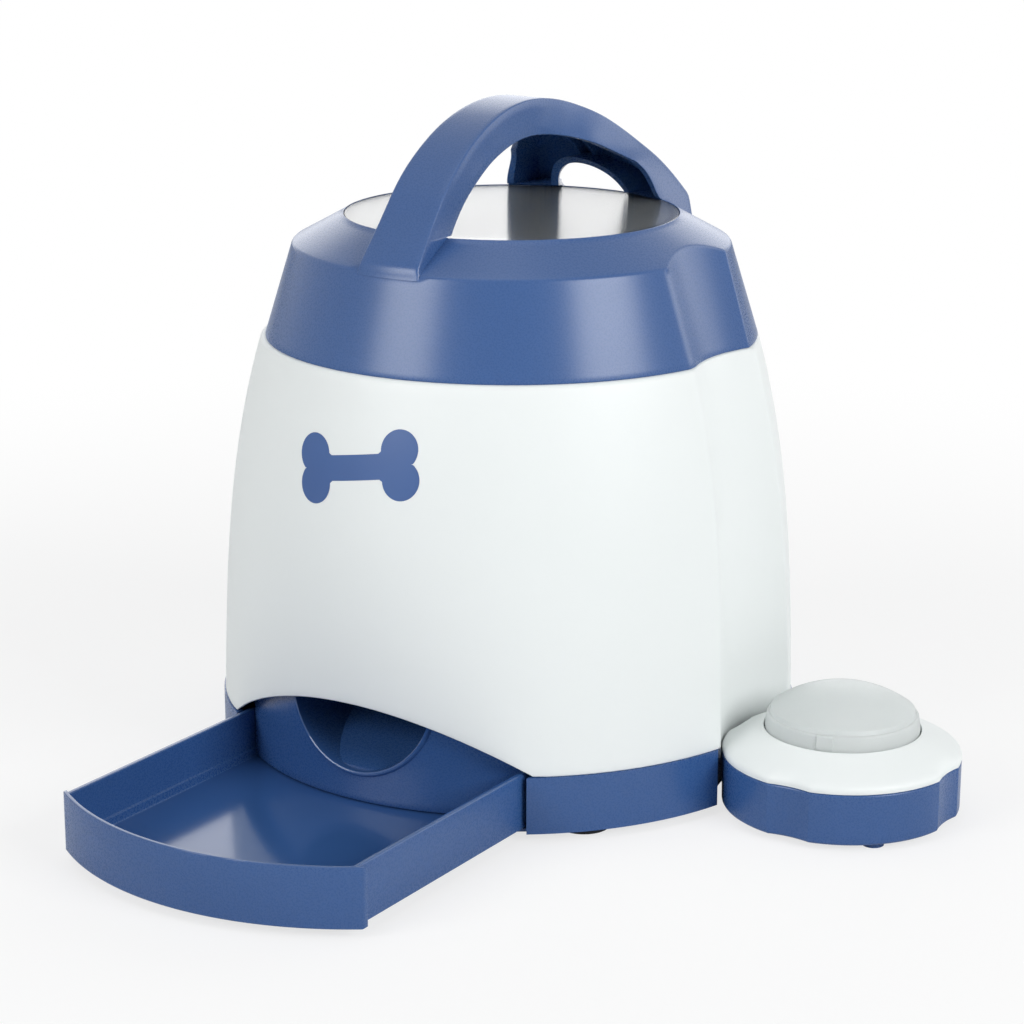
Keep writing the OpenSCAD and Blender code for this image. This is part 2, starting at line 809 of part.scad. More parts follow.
module chute_duct() {
    rear_y = -pocket_at + drop_r;
    blue() difference() {
        intersection() {
            along_y(duct_r, 0, chute_z, [-far, rear_y + duct_wall]);
            cylinder(r = panel_r - panel_wall, h = far);
        }
        translate([0, -pocket_at, chute_z]) cylinder(r = drop_r, h = far);
        difference() {
            along_y(chute_r, 0, chute_z, [-far, rear_y]);
            // Sloping floor that the food slides down
            rotate([90, 0, 90]) translate([0, 0, -far / 2]) linear_extrude(far) polygon([
                [-panel_r, 0],
                [-panel_r, chute_z - chute_r],
                [rear_y + slope_over, chute_z],
                [rear_y + slope_over, 0]
            ]);
        }
    }
}

module drop_tube() {
    blue() difference() {
        translate([0, -pocket_at, chute_z]) ring(drop_r + duct_wall, drop_r, bowl_z - chute_z);
        along_y(duct_r, 0, chute_z, [-far, 0]);
    }
}

module circuit_board() {
    half = box_half + box_wall;
    part_z = box_top + board_t;
    mid_y = (box_front + box_rear) / 2;
    chip = [18, 12, 2.5];
    relay = [10, 16, 9];
    can_r = 3;
    can_h = 8;
    can_pitch = 8;
    color("#2f6b45") {
        box([-half, half], [box_front - box_wall, box_rear], [box_top, part_z]);
        translate([-chip[0], mid_y - chip[1], part_z]) cube(chip);
        translate([relay[0], mid_y - relay[1], part_z]) cube(relay);
        for (i = [-1 : 1]) {
            translate([i * can_pitch - chip[0], mid_y + chip[1], part_z]) cylinder(r = can_r, h = can_h);
        }
    }
}

module speaker() {
    color("#3a3d40") translate([speaker_at[0], speaker_at[1], floor_top]) {
        cylinder(r = speaker_r, h = speaker_rim);
        cylinder(r = speaker_r * 0.6, h = speaker_h);
    }
}

module switch_body() {
    color("#2b2d31") box([-switch_half, led_x + led_r + 1], [switch_y - switch_depth, switch_y - part_gap],
                         [floor_top, switch_z + slider_h]);
}

module switch_slider() {
    color("#d9dde0") box([-slider_half, slider_half], [switch_y, base_r - part_gap],
                         [switch_z - slider_h / 2, switch_z + slider_h / 2]);
}

module status_led() {
    y_out = sqrt(base_r * base_r - led_x * led_x);
    color("#8fd18a") along_y(led_r, led_x, switch_z, [switch_y - part_gap, y_out - part_gap]);
}

module food_tray() {
    front_z = foot_h + tray_drop;
    blue() {
        translate([0, tray_y, 0]) {
            front_sector(base_r, base_r - front_wall, tray_half, [front_z, tray_top]);
            difference() {
                intersection() {
                    translate([0, 0, tray_floor_z])
                        cylinder(r = base_r - front_wall / 2, h = tray_top - tray_floor_z);
                    box([-side_half, side_half], [-far, tray_rear_y + tray_travel], [0, far]);
                }
                box([tray_wall - side_half, side_half - tray_wall], [-far, far],
                    [tray_floor_z + tray_wall, far]);
            }
        }
    }
}

module case_screws() {
    color("#a9adb0") for (p = case_posts) {
        translate([p[0], p[1], floor_top + head_sink])
            screw(base_top + case_boss_h - 2 * boss_end - floor_top, 2 * screw_r, head_h);
    }
}

module bowl_screws() {
    color("#a9adb0") for (p = bowl_posts) {
        translate([p[0], p[1], bowl_z + bowl_floor_t - bowl_sink]) mirror([0, 0, 1])
            screw(bowl_screw_l, 2 * screw_r - 0.1, bowl_sink - 0.1);
    }
}

module gearbox_screws() {
    color("#a9adb0") for (p = plate_posts) {
        translate([p[0], p[1], plate_z]) screw(bowl_z - plate_z + bowl_floor_t / 2, 2 * screw_r, head_h);
    }
}

// The remote's outline: round, with four shallow flutes
module remote_outline(inset) {
    difference() {
        circle(r = remote_r - inset);
        for (a = [0 : 90 : 270]) {
            rotate(a) translate([flute_at, 0]) circle(r = flute_r + inset);
        }
    }
}

module at_remote() {
    translate([remote_x, 0, 0]) children();
}

module remote_cup() {
    x = hatch[0] / 2;
    y = hatch[1] / 2;
    blue() at_remote() difference() {
        union() {
            difference() {
                translate([0, 0, pad_h]) linear_extrude(cup_h) remote_outline(0);
                translate([0, 0, cup_floor]) linear_extrude(cup_h) remote_outline(cup_wall);
            }
            for (p = remote_posts) {
                translate([p[0], p[1], cup_floor - 0.1])
                    cylinder(r = remote_post_r, h = board_z - cup_floor + 0.1);
            }
        }
        box([-x - door_lip, x + door_lip], [-y - door_lip, y + door_lip], [0, pad_h + door_t]);
        box([-x, x], [-y, y], [0, cup_floor + 1]);
        for (p = remote_posts) {
            translate([p[0], p[1], 0]) cylinder(r = screw_r + thread_gap, h = far);
            translate([p[0], p[1], 0]) cylinder(r = 2 * screw_r - 0.4, h = pad_h + 1.8);
        }
    }
}

module ring_profile(inset) {
    slope = ring_h / (remote_r - hole_r);
    rotate_extrude() polygon([
        [hole_r, ring_z],
        [remote_r - inset, ring_z],
        [remote_r - inset, ring_z + 1],
        [remote_r - 1 - inset, ring_z + 2.2 - inset * slope / 2],
        [remote_r - 3.5 - inset * 0.6, ring_z + 4.2 - inset * slope],
        [hole_r + 5.4, ring_top - 2.6 - inset],
        [hole_r, ring_top - inset]
    ]);
}

module remote_ring() {
    color("#eef1f1") at_remote() difference() {
        intersection() {
            ring_profile(0);
            translate([0, 0, ring_z]) linear_extrude(ring_h + 1) remote_outline(0);
        }
        intersection() {
            translate([0, 0, -1]) ring_profile(cup_wall);
            translate([0, 0, ring_z - 2]) linear_extrude(ring_h + 2) remote_outline(cup_wall);
        }
        cylinder(r = hole_r, h = far);
    }
}

module dome_solid(inset) {
    rotate_extrude() difference() {
        union() {
            translate([0, flange_top]) square([dome_r - inset, band_top - flange_top]);
            intersection() {
                translate([0, dome_top - crown_r]) circle(r = crown_r - inset);
                translate([0, flange_top]) square([dome_r - inset, far]);
            }
        }
        translate([-far, 0]) square([far, far]);
    }
}

module remote_dome() {
    color("#d5dedd", 0.8) at_remote() {
        difference() {
            dome_solid(0);
            difference() {
                dome_solid(dome_wall);
                translate([0, 0, stem_z]) cylinder(r = stem_r, h = far);
            }
            translate([0, 0, flange_top - 1]) ring(dome_r - dome_wall, stem_r, 1.5);
        }
        translate([0, 0, flange_top - flange_t]) ring(hole_r + 1.2, dome_r - dome_wall, flange_t);
        translate([0, 0, stem_z]) cylinder(r = stem_r, h = band_top - stem_z);
    }
}

// Points of the spring's wire, one ring of six corners for each step round the coil
module dome_spring() {
    per_turn = 8;
    sides = 6;
    last = spring_turns * per_turn;
    rise = (spring_high - spring_low) / last;
    points = [
        for (i = [0 : last], k = [0 : sides - 1])
            let (turn = 360 * i / per_turn, r = spring_r + wire_r * cos(360 * k / sides))
            [r * cos(turn), r * sin(turn), spring_low + rise * i + wire_r * sin(360 * k / sides)]
    ];
    walls = [
        for (i = [0 : last - 1], k = [0 : sides - 1], half = [0, 1])
            let (a = i * sides + k, b = i * sides + (k + 1) % sides)
            half == 0 ? [a, b, b + sides] : [a, b + sides, a + sides]
    ];
    start = [for (k = [1 : sides - 2]) [0, k + 1, k]];
    end = [for (k = [1 : sides - 2]) [last * sides, last * sides + k, last * sides + k + 1]];
    color("#b5b8ba") at_remote() polyhedron(points, concat(walls, start, end));
}

module remote_board() {
    color("#2f6b45") at_remote() difference() {
        union() {
            translate([0, 0, board_z]) cylinder(r = remote_r - pad_inset, h = board_t);
            translate([0, 0, board_z]) cylinder(r = 3.4, h = board_t + button_h);
        }
        for (p = remote_posts) {
            translate([p[0], p[1], board_z - 1]) cylinder(r = screw_r + thread_gap, h = board_t + 2);
        }
    }
}

module remote_cells() {
    color("#4d5257") at_remote() for (s = [-1, 1]) {
        translate([-small_cell_l / 2, s * (small_cell_d / 2 + 0.3), pad_h + door_t + small_cell_d / 2])
            rotate([0, 90, 0]) cylinder(d = small_cell_d, h = small_cell_l);
    }
}

module remote_door() {
    x = hatch[0] / 2 + door_lip - part_gap;
    y = hatch[1] / 2 + door_lip - part_gap;
    blue() at_remote() box([-x, x], [-y, y], [pad_h, pad_h + door_t]);
}

module remote_pads() {
    blue() at_remote() for (p = pad_spots) {
        translate([p[0], p[1], 0]) cylinder(r = pad_r, h = pad_h);
    }
}

module remote_screws() {
    color("#a9adb0") at_remote() for (p = remote_posts) {
        translate([p[0], p[1], pad_h + 1.8]) screw(board_z + board_t - pad_h - 1.8, 2 * screw_r - 0.5, 1.5);
    }
}

base_pan();
rubber_feet();
battery_door();
battery_cells();
battery_contacts();
body_shell();
lid_collar();
carry_handle();
lid_window();
window_gasket();
hopper();
stop_cover();
dosing_bowl();
portion_wheel();
wheel_shaft();
drive_gear();
motor();
motor_pinion();
gearbox_plate();
chute_panel();
chute_duct();
drop_tube();
circuit_board();
speaker();
switch_body();
switch_slider();
status_led();
food_tray();
case_screws();
bowl_screws();
gearbox_screws();
remote_cup();
remote_ring();
remote_dome();
dome_spring();
remote_board();
remote_cells();
remote_door();
remote_pads();
remote_screws();
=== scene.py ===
import json
import math

import bmesh
import bpy
import numpy as np
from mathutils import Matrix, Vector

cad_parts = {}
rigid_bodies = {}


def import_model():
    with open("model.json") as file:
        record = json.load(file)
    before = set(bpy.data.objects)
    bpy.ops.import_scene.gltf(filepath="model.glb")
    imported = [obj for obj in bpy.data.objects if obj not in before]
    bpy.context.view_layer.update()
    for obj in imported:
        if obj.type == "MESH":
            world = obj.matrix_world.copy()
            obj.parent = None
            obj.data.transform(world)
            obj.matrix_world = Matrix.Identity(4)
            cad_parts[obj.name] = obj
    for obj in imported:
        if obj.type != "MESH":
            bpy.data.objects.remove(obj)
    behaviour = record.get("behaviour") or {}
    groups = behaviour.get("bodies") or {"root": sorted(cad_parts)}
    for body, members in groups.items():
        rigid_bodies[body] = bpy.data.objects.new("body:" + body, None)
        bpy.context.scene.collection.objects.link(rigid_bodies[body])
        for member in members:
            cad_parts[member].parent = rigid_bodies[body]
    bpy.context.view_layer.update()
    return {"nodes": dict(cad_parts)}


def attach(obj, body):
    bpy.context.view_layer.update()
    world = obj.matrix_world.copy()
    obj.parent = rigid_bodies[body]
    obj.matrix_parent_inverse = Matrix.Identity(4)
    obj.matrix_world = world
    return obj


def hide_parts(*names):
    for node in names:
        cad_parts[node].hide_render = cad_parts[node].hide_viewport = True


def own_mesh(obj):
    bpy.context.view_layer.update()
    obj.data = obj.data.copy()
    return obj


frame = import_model()
nodes = frame["nodes"]
scene = bpy.context.scene
scene.view_settings.view_transform = "Standard"
mm = 0.001
print("frame loaded:", len(nodes), "solids")


# small shape tools, all in millimetres
def softMin(a, b, soft):
    near = max(soft - abs(a - b), 0) / soft
    return min(a, b) - near * near * soft / 4


def ease(t):
    t = min(max(t, 0), 1)
    return t * t * (3 - 2 * t)


def shareOf(value, low, high):
    return (value - low) / (high - low)


def between(low, high, share):
    return low + (high - low) * share


def halve(inside, low, high):  # closes in on the place where inside turns false
    for _ in range(30):
        middle = (low + high) / 2
        if inside(middle):
            low = middle
        else:
            high = middle
    return low, high


def throughPoints(table, x):  # soft curve through (place, value) pairs
    xs, ys = zip(*table)
    if x <= xs[0]:
        return ys[0]
    if x >= xs[-1]:
        return ys[-1]
    i = max(k for k in range(len(xs) - 1) if xs[k] <= x)
    slopes = []
    for k in (i, i + 1):
        a, b = max(k - 1, 0), min(k + 1, len(xs) - 1)
        slopes.append((ys[b] - ys[a]) / (xs[b] - xs[a]))
    span = xs[i + 1] - xs[i]
    t = (x - xs[i]) / span
    level = ys[i] * (2 * t ** 3 - 3 * t ** 2 + 1) + ys[i + 1] * (3 * t ** 2 - 2 * t ** 3)
    return level + span * (slopes[0] * (t ** 3 - 2 * t ** 2 + t) + slopes[1] * (t ** 3 - t ** 2))


def roundedLoop(corners, steps=4):  # corners are (a, b, radius)
    loop = []
    for i, (a, b, radius) in enumerate(corners):
        here = np.array((a, b), float)
        if radius <= 0:
            loop.append((a, b))
            continue
        back = np.array(corners[i - 1][:2], float) - here
        ahead = np.array(corners[(i + 1) % len(corners)][:2], float) - here
        back /= np.linalg.norm(back)
        ahead /= np.linalg.norm(ahead)
        half = math.acos(float(np.clip(back @ ahead, -1, 1))) / 2
        middle = (back + ahead) / np.linalg.norm(back + ahead)
        centre = here + middle * radius / math.sin(half)
        first = here + back * radius / math.tan(half) - centre
        last = here + ahead * radius / math.tan(half) - centre
        sweep = math.pi - 2 * half
        for k in range(steps + 1):
            t = k / steps
            swing = math.sin((1 - t) * sweep) * first + math.sin(t * sweep) * last
            spot = centre + swing / math.sin(sweep)
            loop.append((float(spot[0]), float(spot[1])))
    return loop


def spun(r, turn, z, axisX=0):  # a place from its radius, turn and height
    return axisX + r * math.cos(turn), r * math.sin(turn), z


def loftFaces(rings, ringSize, closeAlong=True, closeAround=True, start=0):
    faces = []
    for i in range(rings if closeAlong else rings - 1):
        for j in range(ringSize if closeAround else ringSize - 1):
            a, b = i * ringSize, (i + 1) % rings * ringSize
            k = (j + 1) % ringSize
            faces.append((start + a + j, start + a + k, start + b + k, start + b + j))
    return faces


def makePiece(name, points, faces, body, slot, node=None, sharp=32, finish=None):
    mesh = bpy.data.meshes.new(name)
    mesh.from_pydata([tuple(float(c) * mm for c in p) for p in points], [], faces)
    work = bmesh.new()
    work.from_mesh(mesh)
    bmesh.ops.remove_doubles(work, verts=work.verts, dist=2e-6)
    bmesh.ops.dissolve_degenerate(work, edges=work.edges, dist=1e-6)
    bmesh.ops.recalc_face_normals(work, faces=work.faces)
    work.to_mesh(mesh)
    work.free()
    mesh.shade_smooth()
    mesh.set_sharp_from_angle(angle=math.radians(sharp))
    piece = bpy.data.objects.new(name, mesh)
    scene.collection.objects.link(piece)
    mesh.materials.append(finish or finishes[slot])
    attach(piece, body)
    if node:
        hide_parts(node)
    return piece


# finishes
cloudSpan = (0.3, 0.7)  # most of a cloud's values lie between these
mould = {"driftScale": 14, "grainScale": 1800, "relief": 0.05, "metal": 0, "ior": 1.48,
         "clear": 0, "spread": "MULTI_GGX"}


def cloudNode(tree, place, scale, detail):
    cloud = tree.nodes.new("ShaderNodeTexNoise")
    cloud.inputs["Scale"].default_value = scale
    cloud.inputs["Detail"].default_value = detail
    tree.links.new(place, cloud.inputs["Vector"])
    return cloud.outputs["Fac"]


def rangeNode(tree, value, low, high):
    span = tree.nodes.new("ShaderNodeMapRange")
    span.inputs["From Min"].default_value = cloudSpan[0]
    span.inputs["From Max"].default_value = cloudSpan[1]
    span.inputs["To Min"].default_value = low
    span.inputs["To Max"].default_value = high
    tree.links.new(value, span.inputs["Value"])
    return span.outputs["Result"]


def mouldedFinish(name, look):
    look = {**mould, **look}
    finish = bpy.data.materials.new(name)
    finish.use_nodes = True
    tree = finish.node_tree
    shader = tree.nodes["Principled BSDF"]
    place = tree.nodes.new("ShaderNodeTexCoord").outputs["Object"]
    drift = cloudNode(tree, place, look["driftScale"], 4)  # slow drift of the dye
    dye = tree.nodes.new("ShaderNodeValToRGB")
    for i, colour in enumerate((look["shade"], look["colour"])):
        dye.color_ramp.elements[i].position = cloudSpan[i]
        dye.color_ramp.elements[i].color = (*colour, 1)
    tree.links.new(drift, dye.inputs["Fac"])
    tree.links.new(dye.outputs["Color"], shader.inputs["Base Color"])
    grain = cloudNode(tree, place, look["grainScale"], 3)  # fine mould texture
    tree.links.new(rangeNode(tree, grain, *look["rough"]), shader.inputs["Roughness"])
    relief = tree.nodes.new("ShaderNodeBump")
    relief.inputs["Strength"].default_value = look["relief"]
    relief.inputs["Distance"].default_value = 0.2 * mm
    tree.links.new(grain, relief.inputs["Height"])
    facing = relief.outputs["Normal"]
    if "lean" in look:  # shaded as if it didn't lie quite level in its seat
        tilt = tree.nodes.new("ShaderNodeVectorMath")
        tilt.inputs[1].default_value = look["lean"]
        tree.links.new(facing, tilt.inputs[0])
        even = tree.nodes.new("ShaderNodeVectorMath")
        even.operation = "NORMALIZE"
        tree.links.new(tilt.outputs["Vector"], even.inputs[0])
        facing = even.outputs["Vector"]
    tree.links.new(facing, shader.inputs["Normal"])
    shader.inputs["Metallic"].default_value = look["metal"]
    shader.inputs["IOR"].default_value = look["ior"]
    shader.inputs["Transmission Weight"].default_value = look["clear"]
    shader.distribution = look["spread"]
    return finish


looks = {
    "blue_plastic": {"colour": (0.034, 0.094, 0.262), "shade": (0.031, 0.087, 0.247),
                     "rough": (0.262, 0.29), "relief": 0.01},
    "white_plastic": {"colour": (0.80, 0.832, 0.826), "shade": (0.785, 0.82, 0.814),
                      "rough": (0.42, 0.52)},
    "window_plastic": {"colour": (0.84, 0.87, 0.87), "shade": (0.82, 0.855, 0.855),
                       "rough": (0.13, 0.16), "spread": "GGX", "clear": 0.85, "relief": 0.01,
                       "ior": 1.38, "lean": (-0.09, 0.142, 0)},
    "frosted_plastic": {"colour": (0.88, 0.915, 0.91), "shade": (0.85, 0.89, 0.885),
                        "rough": (0.4, 0.52), "clear": 0.47, "relief": 0.12,
                        "grainScale": 1400, "driftScale": 60},
    "inner_plastic": {"colour": (0.73, 0.78, 0.79), "shade": (0.70, 0.75, 0.76),
                      "rough": (0.38, 0.48)},
    "wheel_plastic": {"colour": (0.11, 0.24, 0.55), "shade": (0.10, 0.22, 0.51),
                      "rough": (0.34, 0.44)},
    "gear_plastic": {"colour": (0.78, 0.75, 0.67), "shade": (0.74, 0.71, 0.63),
                     "rough": (0.36, 0.46)},
    "dark_plastic": {"colour": (0.026, 0.028, 0.031), "shade": (0.022, 0.024, 0.027),
                     "rough": (0.45, 0.58)},
    "grey_plastic": {"colour": (0.69, 0.72, 0.74), "shade": (0.66, 0.69, 0.71),
                     "rough": (0.35, 0.45)},
    "lamp_plastic": {"colour": (0.27, 0.64, 0.25), "shade": (0.25, 0.6, 0.23),
                     "rough": (0.1, 0.18), "clear": 0.4},
    "rubber_black": {"colour": (0.022, 0.023, 0.026), "shade": (0.018, 0.019, 0.021),
                     "rough": (0.6, 0.78), "relief": 0.15},
    "gasket_rubber": {"colour": (0.07, 0.08, 0.09), "shade": (0.06, 0.07, 0.08),
                      "rough": (0.55, 0.7)},
    "steel": {"colour": (0.55, 0.56, 0.57), "shade": (0.5, 0.51, 0.52),
              "rough": (0.22, 0.36), "metal": 1.0},
    "pinion_brass": {"colour": (0.62, 0.46, 0.19), "shade": (0.58, 0.42, 0.17),
                     "rough": (0.25, 0.38), "metal": 1.0},
    "cell_can": {"colour": (0.07, 0.08, 0.09), "shade": (0.06, 0.07, 0.08),
                 "rough": (0.25, 0.36), "metal": 0.6},
    "board_green": {"colour": (0.025, 0.15, 0.06), "shade": (0.02, 0.125, 0.05),
                    "rough": (0.25, 0.38)},
}
finishes = {name: mouldedFinish(name, look) for name, look in looks.items()}
polishedLook = {**looks["blue_plastic"], "rough": (0.1, 0.16)}
polishedBlue = mouldedFinish("polished_blue", polishedLook)  # the tray's floor and rubbed rims
inkLook = {"colour": (0.045, 0.11, 0.30), "shade": (0.036, 0.09, 0.26), "rough": (0.3, 0.4),
           "grainScale": 900}
inkBlue = mouldedFinish("ink_blue", inkLook)

solidFinishes = {
    "blue_plastic": ["base_pan", "battery_door", "lid_collar", "carry_handle", "chute_panel",
                     "chute_duct", "drop_tube", "food_tray", "remote_cup", "remote_door",
                     "remote_pads"],
    "white_plastic": ["body_shell", "remote_ring"],
    "window_plastic": ["lid_window"],
    "frosted_plastic": ["remote_dome"],
    "inner_plastic": ["hopper", "stop_cover", "dosing_bowl", "gearbox_plate"],
    "wheel_plastic": ["portion_wheel"],
    "gear_plastic": ["drive_gear"],
    "dark_plastic": ["speaker", "switch_body"],
    "grey_plastic": ["switch_slider"],
    "lamp_plastic": ["status_led"],
    "rubber_black": ["rubber_feet"],
    "gasket_rubber": ["window_gasket"],
    "steel": ["battery_contacts", "wheel_shaft", "motor", "case_screws", "bowl_screws",
              "gearbox_screws", "dome_spring", "remote_screws"],
    "pinion_brass": ["motor_pinion"],
    "cell_can": ["battery_cells", "remote_cells"],
    "board_green": ["circuit_board", "remote_board"],
}
for slot, names in solidFinishes.items():
    for name in names:
        nodes[name].data.materials.clear()
        nodes[name].data.materials.append(finishes[slot])
print("finishes made:", len(finishes))


def roundSolidEdges(thing, width):
    weld = thing.modifiers.new("joinSeams", "WELD")
    weld.merge_threshold = 1e-6
    bevel = thing.modifiers.new("edgeRound", "BEVEL")
    bevel.width = width * mm
    bevel.segments = 2
    bevel.limit_method = "ANGLE"
    bevel.angle_limit = math.radians(40)


footEdges = {"rubber_feet": 0.8, "remote_pads": 0.7}
for name, width in footEdges.items():
    roundSolidEdges(nodes[name], width)

# niche for the remote, a surface turned about the remote's own axis
niche = {"axisX": 127.9, "foot": 11.2, "top": 6.9, "crease": 5.6, "frontSoft": 2.5,
         "rearSoft": 0.35, "edgeTurns": (4, 17.5)}
shell = {
    "foot": 22.0, "top": 145.5, "footR": 99.5, "draft": 4.0, "crown": 11.0, "wall": 2.5,
    "footRound": 0.5, "topRound": 1.2, "bevel": 0.4,
    "archR": 99.98, "archHalf": 59.05, "archTop": 41.3, "archInset": 0.3,
    "rearPull": (3.0, 1.3), "rearPullAt": 32.5, "rearPullSpan": 25.0,
    "skirt": 6.0, "skirtWall": 1.2, "skirtEnds": (11.5, 13.85),
}
collar = {
    "seam": 145.5, "crease": 176.8, "rim": 186.3, "seamR": 83.1, "creaseR": 73.5, "rimR": 56.0,
    "wall": 2.5, "seamRound": [(0.4, 0), (0.17, 0.06), (0.05, 0.2), (0, 0.4)],
    "creaseRound": 0.9, "creaseRise": 0.45, "creaseReach": 6, "footBlend": 3.2,
    "footFade": (15.5, 3.5), "rimDrop": 0.35,
    "rimLip": [(56.5, 186.18), (56.3, 186.27), (56.2, 186.15), (56.2, 185.7), (56.2, 182.8),
               (52.0, 182.8), (52.0, 180.8)],
    "under": 180.8, "underWall": 3.0, "underNiche": 178, "innerTop": 174.5, "innerTopIn": 1.2,
    "innerLow": 147.5, "spigotR": 81.6, "spigotWall": 2, "spigotLow": 139.5, "spigotTop": 147.4,
    "spigotClear": 2.9,
}


def shellRadius(z):
    t = shareOf(z, shell["foot"], shell["top"])
    return shell["footR"] - shell["draft"] * t - shell["crown"] * max(t, 0) ** 3


def rearDraw(turn, z):  # how far the body is drawn in behind the remote
    off = (math.degrees(turn) - shell["rearPullAt"]) / shell["rearPullSpan"]
    pull = between(*shell["rearPull"], max(shareOf(z, shell["foot"], shell["top"]), 0))
    return pull * math.cos(off * math.pi / 2) ** 2 if abs(off) < 1 else 0.0


def shellSide(turn, z):
    return shellRadius(z) - rearDraw(turn, z)


def collarSide(turn, z):  # the same all round, but called like shellSide
    return between(collar["seamR"], collar["creaseR"],
                   shareOf(z, collar["seam"], collar["crease"]))


def collarCone(z):
    return between(collar["creaseR"], collar["rimR"], shareOf(z, collar["crease"], collar["rim"]))


def nicheReach(z):
    if z > collar["seam"]:
        return between(shellRadius(shell["top"]) - niche["top"],
                       collar["creaseR"] - niche["crease"],
                       shareOf(z, collar["seam"], collar["crease"]))
    t = max(shareOf(z, shell["foot"], shell["top"]), 0)
    return shellRadius(z) - between(niche["foot"], niche["top"], t)


def rayTo(turn, rho):  # distance from the main axis to a circle about the remote's axis
    across = niche["axisX"] * math.sin(turn)
    if abs(turn) > 1 or abs(across) >= rho:
        return 1000.0
    return niche["axisX"] * math.cos(turn) - math.sqrt(rho * rho - across * across)


def nicheRay(turn, z):
    return rayTo(turn, niche["axisX"] - nicheReach(z))


def nicheEdge(side, z, sign):
    def inNiche(turn):
        return nicheRay(sign * turn, z) < side(sign * turn, z)

    low, high = (math.radians(t) for t in niche["edgeTurns"])
    return halve(inNiche, low, high)[1]


def withNiche(side, turn, z):
    soft = niche["frontSoft"] if turn < 0 else niche["rearSoft"]
    return softMin(side(turn, z), nicheRay(turn, z), soft)


edgeColumn, lastColumn = 14, 30  # the first follows the niche's edges, the last stays in place


def columnTurn(column, side, z):
    size = abs(column)
    if size >= lastColumn:
        return math.radians(column)
    sign = 1 if column >= 0 else -1
    edge = math.degrees(nicheEdge(side, z, sign))
    if size <= edgeColumn:
        turn = size * edge / edgeColumn
    else:
        turn = between(edge, lastColumn, shareOf(size, edgeColumn, lastColumn))
    return math.radians(sign * turn)


nearNiche = [0, 3, 6, 9, 11, 12, 12.7, 13.2, 13.6, 13.85, 14, 14.15, 14.4, 14.8, 15.3, 16, 17.5,
             20, 23, 26.5, 30]
archTurn = math.degrees(math.asin(shell["archHalf"] / shell["footR"]))
evenColumns = [*np.arange(33, 180.1, 3), *np.arange(-177, -90 - archTurn - 1, 3),
               *np.arange(-51, -31, 3)]
archColumns = [-90 + archTurn * t for t in np.linspace(-1, 1, 61)]
bodyColumns = sorted({float(c) for c in nearNiche + [-c for c in nearNiche] + evenColumns
                      + archColumns})
print("columns round the body:", len(bodyColumns))


# white shell
def archFoot(x, front):
    if not front or abs(x) >= shell["archHalf"]:
        return shell["foot"]
    r = shell["archR"]
    return max(shell["foot"], shell["archTop"] - r + math.sqrt(r * r - x * x))


def shellLoop():  # rows of inset, where the height is counted from, and the height
    footRound, topRound, wall = shell["footRound"], shell["topRound"], shell["wall"]
    bevel = shell["bevel"]
    quarter = [k * math.pi / 8 for k in range(5)]
    loop = [(footRound * (1 - math.sin(a)), "foot", footRound * (1 - math.cos(a)))
            for a in quarter]
    loop += [(0, "share", k / 40) for k in range(1, 40)]
    loop += [(topRound * (1 - math.cos(a)), "top", topRound * (1 - math.sin(a))) for a in quarter]
    loop += [(wall - bevel, "top", 0), (wall, "top", bevel)]
    loop += [(wall, "share", k / 10) for k in range(9, 0, -1)]
    loop += [(wall, "foot", bevel), (wall - bevel, "foot", 0)]
    return loop


points = []
loop = shellLoop()
skirtFull, skirtEnd = shell["skirtEnds"]
for column in bodyColumns:
    flat = math.radians(column)
    skirt = ease(shareOf(abs(column), skirtEnd, skirtFull))  # hangs over the base in the niche
    footWall = between(shell["wall"], shell["skirtWall"], skirt)
    for inset, mode, value in loop:
        archX = (shell["footR"] - shell["archInset"] - inset) * math.cos(flat)
        foot = archFoot(archX, math.sin(flat) < 0) - shell["skirt"] * skirt
        if mode == "foot":
            inset = min(inset, footWall)
            z = foot + value
        elif mode == "top":
            z = shell["top"] - value
        else:
            z = between(foot + shell["footRound"], shell["top"] - shell["topRound"], value)
        turn = columnTurn(column, shellSide, z)
        points.append(spun(withNiche(shellSide, turn, z) - inset, turn, z))
makePiece("whiteShell", points, loftFaces(len(bodyColumns), len(loop)), "base", "white_plastic",
          "body_shell", 30)
print("shell made")

# base ring, drawn in behind the remote like the shell on it
base = {"drawFrom": 94.2, "drawnFull": 97.4, "edge": 0.5}
points = []
baseMesh = nodes["base_pan"].data
for vertex in baseMesh.vertices:
    x, y, z = (c / mm for c in vertex.co)
    r, turn = math.hypot(x, y), math.atan2(y, x)
    share = min(max(shareOf(r, base["drawFrom"], base["drawnFull"]), 0), 1)
    points.append(spun(r - rearDraw(turn, shell["foot"]) * share, turn, z))
faces = [tuple(face.vertices) for face in baseMesh.polygons]
baseRing = makePiece("baseRing", points, faces, "base", "blue_plastic", "base_pan", 30)
roundSolidEdges(baseRing, base["edge"])
print("base ring made")

